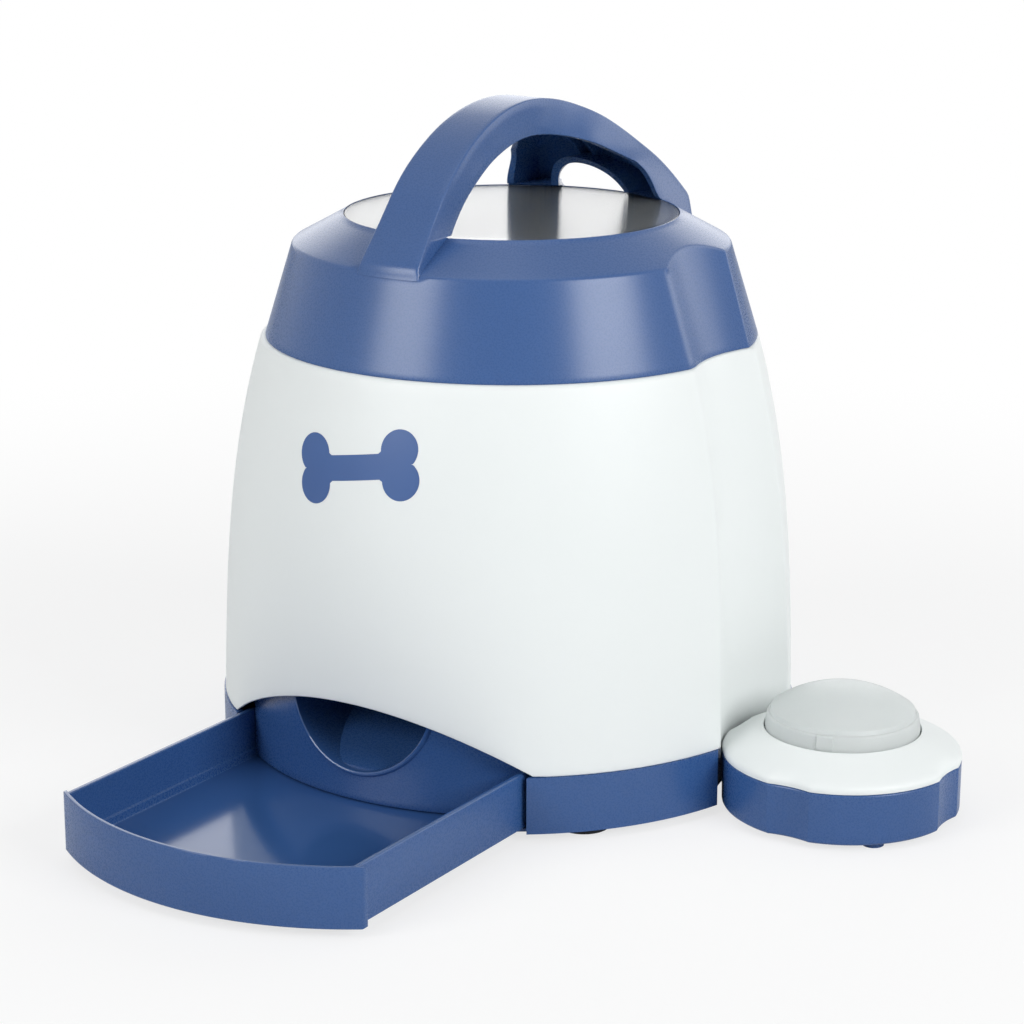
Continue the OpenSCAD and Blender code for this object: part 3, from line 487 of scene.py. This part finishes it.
# plain bone print on the shell's front
bone = {"turn": -90.3, "z": 117.5, "lobeAt": (16.4, 4.7), "lobeR": 6.4, "bar": 4.0, "tilt": 9.0,
        "raise": 0.08, "rows": 5}
points, faces = [], []
lobeX, lobeZ = bone["lobeAt"]
places = [lobeX + bone["lobeR"] * math.sin(t) for t in np.linspace(-math.pi / 2, math.pi / 2, 25)]
spread = sorted({float(p) for p in [-p for p in places] + places + [*np.linspace(-10, 10, 21)]})
tilt = math.radians(bone["tilt"])
for half in (1, -1):
    start = len(points)
    for u in spread:
        away = abs(u) - lobeX
        rise = math.sqrt(max(bone["lobeR"] ** 2 - away * away, 0))
        high = lobeZ + rise if abs(away) <= bone["lobeR"] else bone["bar"]
        low = max(lobeZ - rise, 0) if away > 0 else 0
        for k in range(bone["rows"]):
            v = half * between(low, high, k / (bone["rows"] - 1))
            a = u * math.cos(tilt) - v * math.sin(tilt)
            z = bone["z"] + u * math.sin(tilt) + v * math.cos(tilt)
            r = shellRadius(z) + bone["raise"]
            points.append(spun(r, math.radians(bone["turn"]) + a / r, z))
    faces += loftFaces(len(spread), bone["rows"], False, False, start)
makePiece("bonePrint", points, faces, "base", "blue_plastic", finish=inkBlue)


# blue collar of the lid
def creaseAt(column):  # height where the sloping top starts
    def inNiche(z):
        return nicheRay(columnTurn(column, collarSide, z), z) < collarCone(z)

    crease = collar["crease"]
    if not inNiche(crease):
        return crease
    return halve(inNiche, crease, crease + collar["creaseReach"])[0]


def collarOuter(turn, z):
    if z <= collar["crease"]:
        return withNiche(collarSide, turn, z)
    return min(collarSide(turn, z), nicheRay(turn, z))


def collarLoop(column):
    crease, seam, wall = creaseAt(column), collar["seam"], collar["wall"]
    flat = math.radians(column)
    blend = collar["creaseRound"]
    if math.sin(flat) < 0:  # the handle's front foot runs softly into the collar
        fadeEnd, fadeOver = collar["footFade"]
        footX = abs(collar["creaseR"] * math.cos(flat))
        blend = between(blend, collar["footBlend"], ease((fadeEnd - footX) / fadeOver))
    loop = []

    def add(r, z):  # r is a radius, or works one out from turn and height
        turn = columnTurn(column, collarSide, z)
        loop.append((r(turn, z) if callable(r) else r, z, turn))

    for inset, lift in collar["seamRound"]:
        add(lambda t, z: collarOuter(t, z) - inset, seam + lift)
    start, end = seam + collar["seamRound"][-1][1], crease - blend
    for k in range(1, 19):
        add(collarOuter, between(start, end, k / 18))
    corner = (collarCone(crease), crease)
    before = (collarOuter(columnTurn(column, collarSide, end), end), end)
    bendTop = crease + blend * collar["creaseRise"]
    after = (collarCone(bendTop), bendTop)
    for k in range(1, 7):
        t = k / 6
        add(*(a * (1 - t) ** 2 + 2 * b * t * (1 - t) + c * t * t
              for a, b, c in zip(before, corner, after)))
    for k in range(1, 9):
        z = between(bendTop, collar["rim"] - collar["rimDrop"], k / 8)
        add(collarCone(z), z)
    for r, z in collar["rimLip"]:
        add(r, z)
    under, innerTop = collar["under"], collar["innerTop"]
    add(lambda t, z: min(collarCone(z) - collar["underWall"],
                         nicheRay(t, collar["underNiche"]) - wall), under)
    add(lambda t, z: min(collar["creaseR"] - wall - collar["innerTopIn"], nicheRay(t, z) - wall),
        innerTop)
    for k in range(1, 7):
        add(lambda t, z: withNiche(collarSide, t, z) - wall,
            between(innerTop, collar["innerLow"], k / 6))
    clear = niche["axisX"] - nicheReach(seam) + collar["spigotClear"]
    for back, z in ((collar["spigotWall"], collar["spigotTop"]),
                    (collar["spigotWall"], collar["spigotLow"]),
                    (0, collar["spigotLow"]), (0, seam)):
        add(lambda t, z: min(collar["spigotR"], rayTo(t, clear)) - back, z)
    return loop


points = []
for column in bodyColumns:
    loop = collarLoop(column)
    points += [spun(r, turn, z) for r, z, turn in loop]
makePiece("lidCollar", points, loftFaces(len(bodyColumns), len(loop)), "lid", "blue_plastic",
          "lid_collar", 30)
print("collar made")

# carry handle: one foot at the front, two at the rear
handle = {
    "outerR": 74.5, "outerZ": 149.5, "innerR": 68.5, "innerZ": 143.5, "lean": 51.3,
    "footY": 73.7, "footZ": 176.8, "low": 175.3, "levelZ": 200.0, "solidBelow": 186.9,
    "half": [(-74, 11.4), (-62, 10.2), (-50, 9.8), (-40, 9.3), (-30, 9.0), (-20, 8.6), (-8, 8.25),
             (0, 8.2), (10, 8.7), (20, 10.1), (25, 11.1), (30, 12.8), (35, 14.7), (40, 16.3),
             (45, 18.3), (50, 20.9), (55, 24.4), (60, 27.7), (65, 30.1), (70, 32.0), (74, 33.3)],
    "flare": [(-74, 0.4), (-30, 0.5), (0, 0.7), (18, 1.8), (30, 2.6), (45, 1.5), (74, 0.5)],
    "wall": 2.4, "edge": 0.7, "lip": 0.5, "rib": (3.0, 0.6, 4.5),
    "forkR": 13.9, "forkZ": 183.0, "forkOpen": 0.5,
    "frontOut": 1.04, "frontFade": 22, "footSoft": 1.2, "footIn": 0.05,
    "hug": 0.8, "hugFrom": 187, "hugFade": 14, "hugR": 55.6,
    "seatOver": 0.35, "seatSunk": 0.7, "seatR": 56.35, "leastWall": 0.25,
}


def legOuter(z):  # distance from the middle of the arch's outer face
    lean = math.radians(handle["lean"])
    top = handle["outerZ"] + handle["outerR"] * math.cos(lean)
    if z >= top:
        return math.sqrt(max(handle["outerR"] ** 2 - (z - handle["outerZ"]) ** 2, 0))
    return between(handle["outerR"] * math.sin(lean), handle["footY"],
                   shareOf(z, top, handle["footZ"]))


def legSection(side, z):
    def outer(x):
        y = legOuter(z)
        if side < 0:  # the front foot takes up the collar's roundness
            crown = y - math.sqrt(max(y * y - x * x, 1))
            settle = ease((z - collar["crease"]) / handle["frontFade"])
            y += (1 - settle) * (handle["frontOut"] - crown)
        limit = collarSide(0, min(z, collar["crease"]))
        limit = math.sqrt(max(limit * limit - x * x, 1)) - handle["footIn"]
        return side * softMin(y, limit, handle["footSoft"]), z

    def inner(x):
        y = math.sqrt(max(handle["innerR"] ** 2 - (z - handle["innerZ"]) ** 2, 0))
        # the feet follow the window's round edge
        hug = handle["hug"] * (1 - ease((z - handle["hugFrom"]) / handle["hugFade"]))
        y -= hug * (handle["hugR"] - math.sqrt(handle["hugR"] ** 2 - x * x))
        if z < collar["rim"] + handle["seatOver"]:
            seat = handle["seatR"]
            if z < collar["rim"]:
                seat = collarCone(z) - handle["seatSunk"]
            y = max(y, math.sqrt(max(seat * seat - x * x, 0)))
        return side * min(y, side * outer(x)[0] - handle["leastWall"]), z

    return {"outer": outer, "inner": inner, "y": side * legOuter(z), "z": z, "rear": side > 0,
            "hollow": z > handle["solidBelow"]}


def archPoint(which, turn):
    r, middle = handle[which + "R"], handle[which + "Z"]
    a = turn * math.acos((handle["levelZ"] - middle) / r)
    return r * math.sin(a), middle + r * math.cos(a)


def archSection(turn):
    out, into = archPoint("outer", turn), archPoint("inner", turn)
    return {"outer": lambda x: out, "inner": lambda x: into, "y": out[0], "z": out[1],
            "rear": False, "hollow": True}


frontLevels = [*np.linspace(handle["low"], 186.2, 9), 186.6, 186.7, 186.85, 186.95,
               *np.linspace(188.0, 199.4, 10)]
rearLevels = [199.75, 199.41, 199.35, 199.2, 198.9, 198.4, 197.9, 197.4, 197.05, 196.9, 196.87,
              196.78, 196.6, 196.3, 195.85, 195.2, 194.3, 193.2, 192, 190.8, 189.8, 188.8, 187.8,
              186.95, 186.85, 186.7, 186.6, 186.2, *np.linspace(185, handle["low"], 9)]
sections = [legSection(-1, float(z)) for z in frontLevels]
sections += [archSection(float(t)) for t in np.linspace(-1, 1, 49)]
sections += [legSection(1, float(z)) for z in rearLevels]


def handleRing(section):
    half = throughPoints(handle["half"], section["y"])
    flare = throughPoints(handle["flare"], section["y"])
    wall = handle["wall"]
    deep = math.dist(section["outer"](half * 0.8), section["inner"](half * 0.8))
    edge, lip = min(handle["edge"], 0.3 * deep), min(handle["lip"], 0.2 * deep)
    gap = web = 0.0
    if section["rear"]:
        drop = section["z"] - handle["forkZ"]
        gap = math.sqrt(max(handle["forkR"] ** 2 - drop ** 2, 0))
        web = math.sqrt(max((handle["forkR"] + wall) ** 2 - drop ** 2, 0))
    opens = handle["forkOpen"] * deep / handle["forkR"]  # the gap opens out to the rear
    roof = min(wall / deep, 1.0) if section["hollow"] else 1.0
    ribX, ribHalf, ribDeep = handle["rib"]
    ribRoof = roof
    if web < ribX - ribHalf:  # the ribs end at the fork's web
        ribRoof = min(roof + ribDeep / deep, 1.0)

    def at(x, share):
        y0, z0 = section["outer"](x)
        y1, z1 = section["inner"](x)
        return x, between(y0, y1, share), between(z0, z1, share)

    def sideX(share):
        return half + flare * share

    def gapX(share):
        return gap * (1 + opens * (1 - share))

    def webX(share):
        return web + gapX(share) - gap

    ring = [at(between(gapX(0), half - edge, k / 6), 0) for k in range(7)]
    for a in (30, 60, 90):
        share = edge * (1 - math.cos(math.radians(a))) / deep
        ring.append(at(sideX(share) - edge * (1 - math.sin(math.radians(a))), share))
    for k in (1, 2, 3):
        share = between(edge / deep, 1 - lip / deep, k / 4)
        ring.append(at(sideX(share), share))
    for a in (0, 30, 60, 90):
        share = 1 - lip * (1 - math.sin(math.radians(a))) / deep
        ring.append(at(sideX(share) - lip * (1 - math.cos(math.radians(a))), share))
    for share in (1, 0.5 + roof / 2, roof):
        ring.append(at(sideX(share) - wall, share))
    for x, share in ((ribX + ribHalf, roof), (ribX + ribHalf, ribRoof), (ribX - ribHalf, ribRoof),
                     (ribX - ribHalf, roof)):
        ring.append(at(max(x, webX(share)), share))
    low = 1.0 if web > 0 else roof
    ring += [at(webX(roof), roof), at(webX(low), low)]
    ring += [at(gapX(low * k), low * k) for k in (1, 0.66, 0.33)]
    return ring


rings = [handleRing(section) for section in sections]
size = len(rings[0])
points, faces = [], []
for sign in (1, -1):
    start = len(points)
    for ring in rings:
        points += [(sign * x, y, z) for x, y, z in ring]
    for face in loftFaces(len(rings), size, False, True, start):
        if max(abs(points[i][0]) for i in face) > 1e-6:  # leaves out those in the middle plane
            faces.append(face)
    faces.append(tuple(range(start, start + size)))
    faces.append(tuple(range(len(points) - size, len(points))))
makePiece("carryHandle", points, faces, "lid", "blue_plastic", "carry_handle", 35)
print("handle made")

# see-through disc in the lid
window = {"r": 56.0, "low": 183.8, "top": 186.14, "edge": 0.2, "columns": 128}
loop = roundedLoop([
    (0, window["low"], 0), (window["r"], window["low"], window["edge"]),
    (window["r"], window["top"], window["edge"]), (0, window["top"], 0)])
points = []
for c in range(window["columns"]):
    points += [spun(r, 2 * math.pi * c / window["columns"], z) for r, z in loop]
makePiece("lidWindow", points, loftFaces(window["columns"], len(loop)), "lid", "window_plastic",
          "lid_window", 30)

# pull-out tray
tray = {
    "half": 57.25, "sideHalf": 55.75, "evenHalf": 55.5, "wall": 2.0, "frontR": 100.0,
    "frontIn": 97.8, "lipIn": 98.7, "floorR": 98.9, "centreY": -88.3, "rear": -62.0, "rows": 13,
    "low": 3.2, "floor": 4.3, "floorTop": 6.3, "floorHalf": 44, "top": 22.9, "lipDrop": 0.9,
    "ledge": (9.4, 0.8), "endRound": [(0, 0.55), (0.12, 0.25), (0.5, 0)],
    "polishBelow": 9, "polishAbove": 22.2,
}
lipZ = tray["top"] - tray["lipDrop"]
frontLoop = roundedLoop([
    (tray["frontR"], tray["low"], 0.5), (tray["frontR"], tray["top"], 0.3),
    (tray["lipIn"], tray["top"], 0.2), (tray["lipIn"], lipZ, 0.15),
    (tray["frontIn"], lipZ, 0.35), (tray["frontIn"], tray["low"], 0.3)], 3)
points = []
reach = [(tray["half"] - back, inset) for back, inset in tray["endRound"]]
stops = [(-x, inset) for x, inset in reach]
stops += [(float(x), 0) for x in np.linspace(-tray["evenHalf"], tray["evenHalf"], 45)]
stops += reach[::-1]
for x, inset in stops:
    for r, z in frontLoop:
        r = min(max(r, tray["frontIn"] + inset), tray["frontR"] - inset)
        z = min(max(z, tray["low"] + inset), tray["top"] - inset)
        points.append((x, tray["centreY"] - math.sqrt(r * r - x * x), z))
size = len(frontLoop)
faces = loftFaces(len(stops), size, False, True)
faces += [tuple(range(size)), tuple(range(len(points) - size, len(points)))]
side, inner = tray["sideHalf"], tray["sideHalf"] - tray["wall"]
ledgeZ, ledgeOut = tray["ledge"]
rightWall = [(side, tray["floor"], 0.3), (side, tray["top"], 0.5), (inner, tray["top"], 0.5),
             (inner, ledgeZ, 0.25), (inner - ledgeOut, ledgeZ - 0.3, 0.25),
             (inner - ledgeOut, tray["floorTop"], 0.7)]
leftWall = [(-x, z, r) for x, z, r in rightWall[::-1]]
across = [float(x) for x in np.linspace(-tray["floorHalf"], tray["floorHalf"], 23)]
inside = [(x, tray["floorTop"], 0) for x in across[::-1]]
under = [(x, tray["floor"], 0) for x in across]
section = roundedLoop(rightWall + inside + leftWall + under, 3)
start, rows = len(points), tray["rows"]
for k in range(rows):
    for x, z in section:
        front = tray["centreY"] - math.sqrt(tray["floorR"] ** 2 - x * x)
        points.append((x, between(front, tray["rear"], k / (rows - 1)), z))
faces += loftFaces(rows, len(section), False, True, start)
faces.append(tuple(range(len(points) - len(section), len(points))))


def floorSpots(level):
    return [k for k, (x, z) in enumerate(section)
            if abs(x) < tray["floorHalf"] + 0.1 and abs(z - level) < 0.01]


# the front end is bowed, so it is closed in strips
upper, lower = floorSpots(tray["floorTop"]), floorSpots(tray["floor"])
strips = [[lower[-1]] + list(range(upper[0] + 1)), list(range(upper[-1], lower[0] + 1))]
strips += [[upper[k], upper[k + 1], lower[-2 - k], lower[-1 - k]] for k in range(len(upper) - 1)]
faces += [tuple(start + k for k in strip) for strip in strips]
trayPiece = makePiece("foodTray", points, faces, "tray", "blue_plastic", "food_tray", 30)
trayPiece.data.materials.append(polishedBlue)
for face in trayPiece.data.polygons:
    onFloor = face.normal.z > 0.9 and face.center.z < tray["polishBelow"] * mm
    if onFloor or face.center.z > tray["polishAbove"] * mm:
        face.material_index = 1
print("tray made")

# curved wall behind the arch, with the round mouth and its bead
panel = {
    "r": 94.0, "back": 92.0, "half": 53.35, "low": 6.8, "high": 76.0, "edge": 0.4,
    "mouthZ": 44.0, "mouthR": 27.0, "mouthRows": (90.5, 93.2), "bead": 0.8, "beadEnd": 1.8,
    "beadRows": [(0.55, 0.1), (0.9, 0.4), (1, 0.8), (0.9, 1.2), (0.5, 1.55), (0.1, 1.75),
                 (0, 2.2)],
}
corners = [math.degrees(math.atan2(z - panel["mouthZ"], s * panel["half"]))
           for z in (panel["low"], panel["high"]) for s in (1, -1)]
spokes = sorted({float(a) for a in [*np.arange(-178, 181, 3)] + corners})
points = []
front, back, rim = panel["r"], panel["back"], panel["mouthR"]
flat = rim + panel["beadRows"][-1][1]
for spoke in spokes:
    a = math.radians(spoke)
    up = panel["high"] - panel["mouthZ"] if math.sin(a) > 0 else panel["mouthZ"] - panel["low"]
    far = min(panel["half"] / max(abs(math.cos(a)), 1e-6), up / max(abs(math.sin(a)), 1e-6))
    rows = [(r, rim) for r in panel["mouthRows"]]
    rows += [(front + panel["bead"] * rise, rim + out) for rise, out in panel["beadRows"]]
    rows += [(front, between(flat, far - panel["edge"], t)) for t in (0.2, 0.4, 0.6, 0.8, 1)]
    rows += [(front - panel["edge"] / 2, far), (back, far), (back, between(rim, far, 0.5)),
             (back, rim + 2)]
    for r, rho in rows:
        x, z = rho * math.cos(a), panel["mouthZ"] + rho * math.sin(a)
        points.append((x, -math.sqrt(r * r - x * x), z))
panelPiece = makePiece("chutePanel", points, loftFaces(len(spokes), len(rows)), "base",
                       "blue_plastic", "chute_panel", 35)
panelPiece.data.materials.append(polishedBlue)
for face in panelPiece.data.polygons:
    fromMouth = math.hypot(face.center.x, face.center.z - panel["mouthZ"] * mm)
    if fromMouth < (panel["mouthR"] + panel["beadEnd"]) * mm:
        face.material_index = 1
print("chute panel made")

# remote: fluted cup, ring and dome
remote = {"x": 127.9, "r": 38.9, "fluteAt": 68.52, "fluteR": 31.22, "fluteEdge": 10.96}
cup = {"low": 2.0, "seam": 19.1, "wall": 2.0, "hatch": (24.0, 13.0), "lip": 2.0, "doorT": 1.6,
       "footRound": 1.3, "draft": 0.1, "rim": 0.5, "rimMid": (0.12, 0.2), "innerRow": 8}
fluteEdge = remote["fluteEdge"]


def fluteDepth(turn):
    off = (math.degrees(turn) + 45) % 90 - 45
    if abs(off) >= fluteEdge:
        return 0.0
    off = math.radians(off)
    across = remote["fluteAt"] * math.sin(off)
    inner = remote["fluteAt"] * math.cos(off) - math.sqrt(remote["fluteR"] ** 2 - across ** 2)
    return max(remote["r"] - inner, 0.0)


def boxReach(turn, halfX, halfY):
    return min(halfX / max(abs(math.cos(turn)), 1e-6), halfY / max(abs(math.sin(turn)), 1e-6))


quarterTurns = [*np.linspace(-fluteEdge, fluteEdge, 13),
                *np.linspace(fluteEdge, 90 - fluteEdge, 25)]
turns = sorted({float(q + a) for q in (0, 90, 180, 270) for a in quarterTurns})
turns = [t for t in turns if t < 360 - fluteEdge - 0.01]
lipHalves = [half + cup["lip"] for half in cup["hatch"]]
cornerTurns = [math.degrees(math.atan2(sy * y, sx * x)) % 360
               for x, y in (cup["hatch"], lipHalves) for sx in (1, -1) for sy in (1, -1)]
cupTurns = sorted(set([t if t >= 0 else t + 360 for t in turns] + cornerTurns))
points = []
low, seam, wall, foot = cup["low"], cup["seam"], cup["wall"], cup["footRound"]
doorZ = low + cup["doorT"]
for t in cupTurns:
    a = math.radians(t)
    edge = remote["r"] - fluteDepth(a)
    hatch, lip = boxReach(a, *cup["hatch"]), boxReach(a, *lipHalves)
    flat = edge - foot - cup["draft"]
    rows = [(hatch, low + wall), (hatch, doorZ), (lip, doorZ), (lip, low)]
    rows += [(between(lip, flat, k / 3), low) for k in (1, 2, 3)]
    rows += [(flat + foot * math.sin(q), low + foot * (1 - math.cos(q)))
             for q in (0.4, 0.8, 1.2, math.pi / 2)]
    rows += [(edge - cup["draft"] * (1 - k / 6), between(low + foot, seam - cup["rim"], k / 6))
             for k in range(1, 7)]
    rows += [(edge - cup["rimMid"][0], seam - cup["rimMid"][1]), (edge - cup["rim"], seam)]
    rows += [(edge - wall, z) for z in (seam, seam - cup["innerRow"], low + wall)]
    points += [spun(r, a, z, remote["x"]) for r, z in rows]
makePiece("remoteCup", points, loftFaces(len(cupTurns), len(rows)), "remote", "blue_plastic",
          "remote_cup", 16)

# rows of inset, height and share of the flute's depth
ringRows = [
    (0.55, 19.1, 1), (0.15, 19.3, 1), (0.0, 19.8, 1), (0.0, 20.6, 1), (0.2, 21.2, 1),
    (0.7, 21.8, 0.9), (1.5, 22.4, 0.7), (2.6, 23.05, 0.4), (3.8, 23.7, 0.15), (5.1, 24.4, 0),
    (6.8, 25.3, 0), (8.7, 26.3, 0), (10.6, 27.3, 0), (12.0, 28.05, 0), (12.7, 28.35, 0),
    (13.1, 28.45, 0), (13.3, 28.3, 0), (13.3, 26.4, 0), (8.7, 24.2, 0), (4.6, 21.6, 0.5),
    (2.6, 20.2, 1), (2.3, 19.1, 1),
]
points = []
for t in turns:
    a = math.radians(t)
    points += [spun(remote["r"] - inset - fluteDepth(a) * share, a, z, remote["x"])
               for inset, z, share in ringRows]
makePiece("remoteRing", points, loftFaces(len(turns), len(ringRows)), "remote", "white_plastic",
          "remote_ring", 24)

dome = {
    "r": 25.2, "top": 42.5, "taper": 0.5, "wall": 1.8, "crown": 9.0, "crownIn": 1.3,
    "flangeR": 26.7, "low": 22.9, "flangeTop": 24.5, "sideLow": 28.6, "shoulder": 32.5,
    "shoulderRound": (0.9, 0.95), "inside": [(23.3, 32.2), (23.4, 31.0), (23.4, 22.9)],
    "key": (-85.4, -70.6), "keyZ": (28.7, 33.2), "keyOut": 0.35, "keyEdge": 0.5,
    "groove": (1.5, 2.2), "keySteps": (0, 0.7, 1.6, 2.3),
}
crownR = (dome["r"] ** 2 + dome["crown"] ** 2) / (2 * dome["crown"])


def crownRows(top, radii):
    return [(float(r), top - crownR + math.sqrt(crownR ** 2 - r * r)) for r in radii]


edgeR = dome["r"] - dome["taper"]
roundIn, roundUp = dome["shoulderRound"]
loop = [(dome["flangeR"], dome["low"]), (dome["flangeR"], dome["flangeTop"]),
        (dome["r"], dome["flangeTop"]), (dome["r"], dome["sideLow"])]
loop += [(dome["r"] - dome["taper"] * k / 4, between(dome["sideLow"], dome["shoulder"], k / 4))
         for k in range(1, 5)]
loop += [(edgeR - roundIn * (1 - math.cos(q)), dome["shoulder"] + roundUp * math.sin(q))
         for q in (0.4, 0.8, 1.2, 1.5)]
sideRows = len(loop)
loop += crownRows(dome["top"], np.linspace(edgeR - dome["crownIn"], 0, 24))
loop += crownRows(dome["top"] - dome["wall"], [0, *np.linspace(1.5, 22.6, 14)])
loop += dome["inside"]
keyLow, keyHigh = dome["key"]
keyTurns = [keyLow + step for step in dome["keySteps"]] + [keyHigh - dome["keySteps"][1], keyHigh]
domeTurns = sorted([float(t) for t in np.arange(-180, 180, 3)] + keyTurns)
points = []
for t in domeTurns:
    onKey = keyLow + dome["keyEdge"] < t < keyHigh - dome["keyEdge"]  # tab with a fine groove
    inGroove = keyLow + dome["groove"][0] < t < keyLow + dome["groove"][1]
    for i, (r, z) in enumerate(loop):
        if onKey and not inGroove and i < sideRows and dome["keyZ"][0] < z < dome["keyZ"][1]:
            r += dome["keyOut"]
        points.append(spun(r, math.radians(t), z, remote["x"]))
makePiece("remoteDome", points, loftFaces(len(domeTurns), len(loop)), "dome", "frosted_plastic",
          "remote_dome", 30)

# spring under the dome, taken over from its solid into a piece with a mesh of its own
springMesh = nodes["dome_spring"].data
points = [tuple(c / mm for c in vertex.co) for vertex in springMesh.vertices]
faces = [tuple(face.vertices) for face in springMesh.polygons]
springPiece = makePiece("domeSpring", points, faces, "remote", "steel", "dome_spring", 40)
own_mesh(springPiece)
print("remote made")

# camera at the photograph's angle
view = {"at": (0.50716, -0.79553, 0.34399), "down": 15.538, "turn": 32.51, "lens": 100.0,
        "sensor": 36.0, "far": 30}
camera = bpy.data.objects.new("viewCamera", bpy.data.cameras.new("viewCamera"))
scene.collection.objects.link(camera)
camera.data.lens = view["lens"]
camera.data.sensor_width = view["sensor"]
camera.data.clip_end = view["far"]
camera.location = view["at"]
camera.rotation_euler = (math.radians(90 - view["down"]), 0, math.radians(view["turn"]))
scene.camera = camera

# pale floor that keeps a faint shadow, white surroundings
studio = {"floorHalf": 8, "floorShare": 0.72, "shadowReach": (0.16, 0.62), "fill": 0.22}
floorMesh = bpy.data.meshes.new("floor")
floorCorners = [(x * studio["floorHalf"], y * studio["floorHalf"], 0)
                for x, y in ((-1, -1), (1, -1), (1, 1), (-1, 1))]
floorMesh.from_pydata(floorCorners, [], [(0, 1, 2, 3)])
floor = bpy.data.objects.new("floor", floorMesh)
scene.collection.objects.link(floor)
paper = bpy.data.materials.new("paper")
paper.use_nodes = True
tree = paper.node_tree
matt = tree.nodes["Principled BSDF"]
matt.inputs["Base Color"].default_value = (0.9, 0.9, 0.9, 1)
matt.inputs["Roughness"].default_value = 0.9
glow = tree.nodes.new("ShaderNodeEmission")
light = tree.nodes.new("ShaderNodeLightPath")
mix = tree.nodes.new("ShaderNodeMixShader")
away = tree.nodes.new("ShaderNodeVectorMath")
away.operation = "LENGTH"
tree.links.new(tree.nodes.new("ShaderNodeTexCoord").outputs["Object"], away.inputs[0])
fade = tree.nodes.new("ShaderNodeMapRange")
fade.interpolation_type = "SMOOTHSTEP"
fade.inputs["From Min"].default_value = studio["shadowReach"][0]
fade.inputs["From Max"].default_value = studio["shadowReach"][1]
fade.inputs["To Min"].default_value = studio["floorShare"]
tree.links.new(away.outputs["Value"], fade.inputs["Value"])
share = tree.nodes.new("ShaderNodeMath")
share.operation = "MULTIPLY"
tree.links.new(light.outputs["Is Camera Ray"], share.inputs[0])
tree.links.new(fade.outputs["Result"], share.inputs[1])
tree.links.new(share.outputs["Value"], mix.inputs["Fac"])
tree.links.new(matt.outputs["BSDF"], mix.inputs[1])
tree.links.new(glow.outputs["Emission"], mix.inputs[2])
tree.links.new(mix.outputs["Shader"], tree.nodes["Material Output"].inputs["Surface"])
floorMesh.materials.append(paper)

world = bpy.data.worlds.new("surroundings")
world.use_nodes = True
scene.world = world
tree = world.node_tree
fill = tree.nodes["Background"]
fill.inputs["Color"].default_value = (0.95, 0.98, 1.0, 1)
fill.inputs["Strength"].default_value = studio["fill"]
white = tree.nodes.new("ShaderNodeBackground")
white.inputs["Color"].default_value = (1, 1, 1, 1)
white.inputs["Strength"].default_value = 1.0
light = tree.nodes.new("ShaderNodeLightPath")
seen = tree.nodes.new("ShaderNodeMath")
seen.operation = "MAXIMUM"
seenToo = tree.nodes.new("ShaderNodeMath")
seenToo.operation = "MAXIMUM"
mix = tree.nodes.new("ShaderNodeMixShader")
tree.links.new(light.outputs["Is Camera Ray"], seen.inputs[0])
tree.links.new(light.outputs["Is Transmission Ray"], seen.inputs[1])
tree.links.new(seen.outputs["Value"], seenToo.inputs[0])
tree.links.new(light.outputs["Is Glossy Ray"], seenToo.inputs[1])
tree.links.new(seenToo.outputs["Value"], mix.inputs["Fac"])
tree.links.new(fill.outputs["Background"], mix.inputs[1])
tree.links.new(white.outputs["Background"], mix.inputs[2])
tree.links.new(mix.outputs["Shader"], tree.nodes["World Output"].inputs["Surface"])

lamps = {
    "leftBox": {"at": (-0.54, -1.51, 0.84), "aim": (0, 0, 0.12), "size": (0.85, 0.65),
                "power": 13.0},
    "rightBox": {"at": (1.57, -0.27, 0.84), "aim": (0, 0, 0.12), "size": (0.95, 0.65),
                 "power": 17.0},
    "rightRearBox": {"at": (0.87, 1.35, 0.65), "aim": (0, 0, 0.15), "size": (0.9, 0.9),
                     "power": 4.0},
    "topBox": {"at": (-0.1, -0.2, 1.7), "aim": (0, 0, 0.1), "size": (1.2, 1.2), "power": 4.0},
    "backBox": {"at": (-0.8, 1.26, 0.6), "aim": (0, 0, 0.18), "size": (1.5, 0.9), "power": 5.0},
}
for name, lamp in lamps.items():
    data = bpy.data.lights.new(name, "AREA")
    data.shape = "RECTANGLE"
    data.size, data.size_y = lamp["size"]
    data.energy = lamp["power"]
    box = bpy.data.objects.new(name, data)
    scene.collection.objects.link(box)
    box.location = lamp["at"]
    towards = Vector(lamp["aim"]) - Vector(lamp["at"])
    box.rotation_euler = towards.to_track_quat("-Z", "Y").to_euler()
print("studio set")
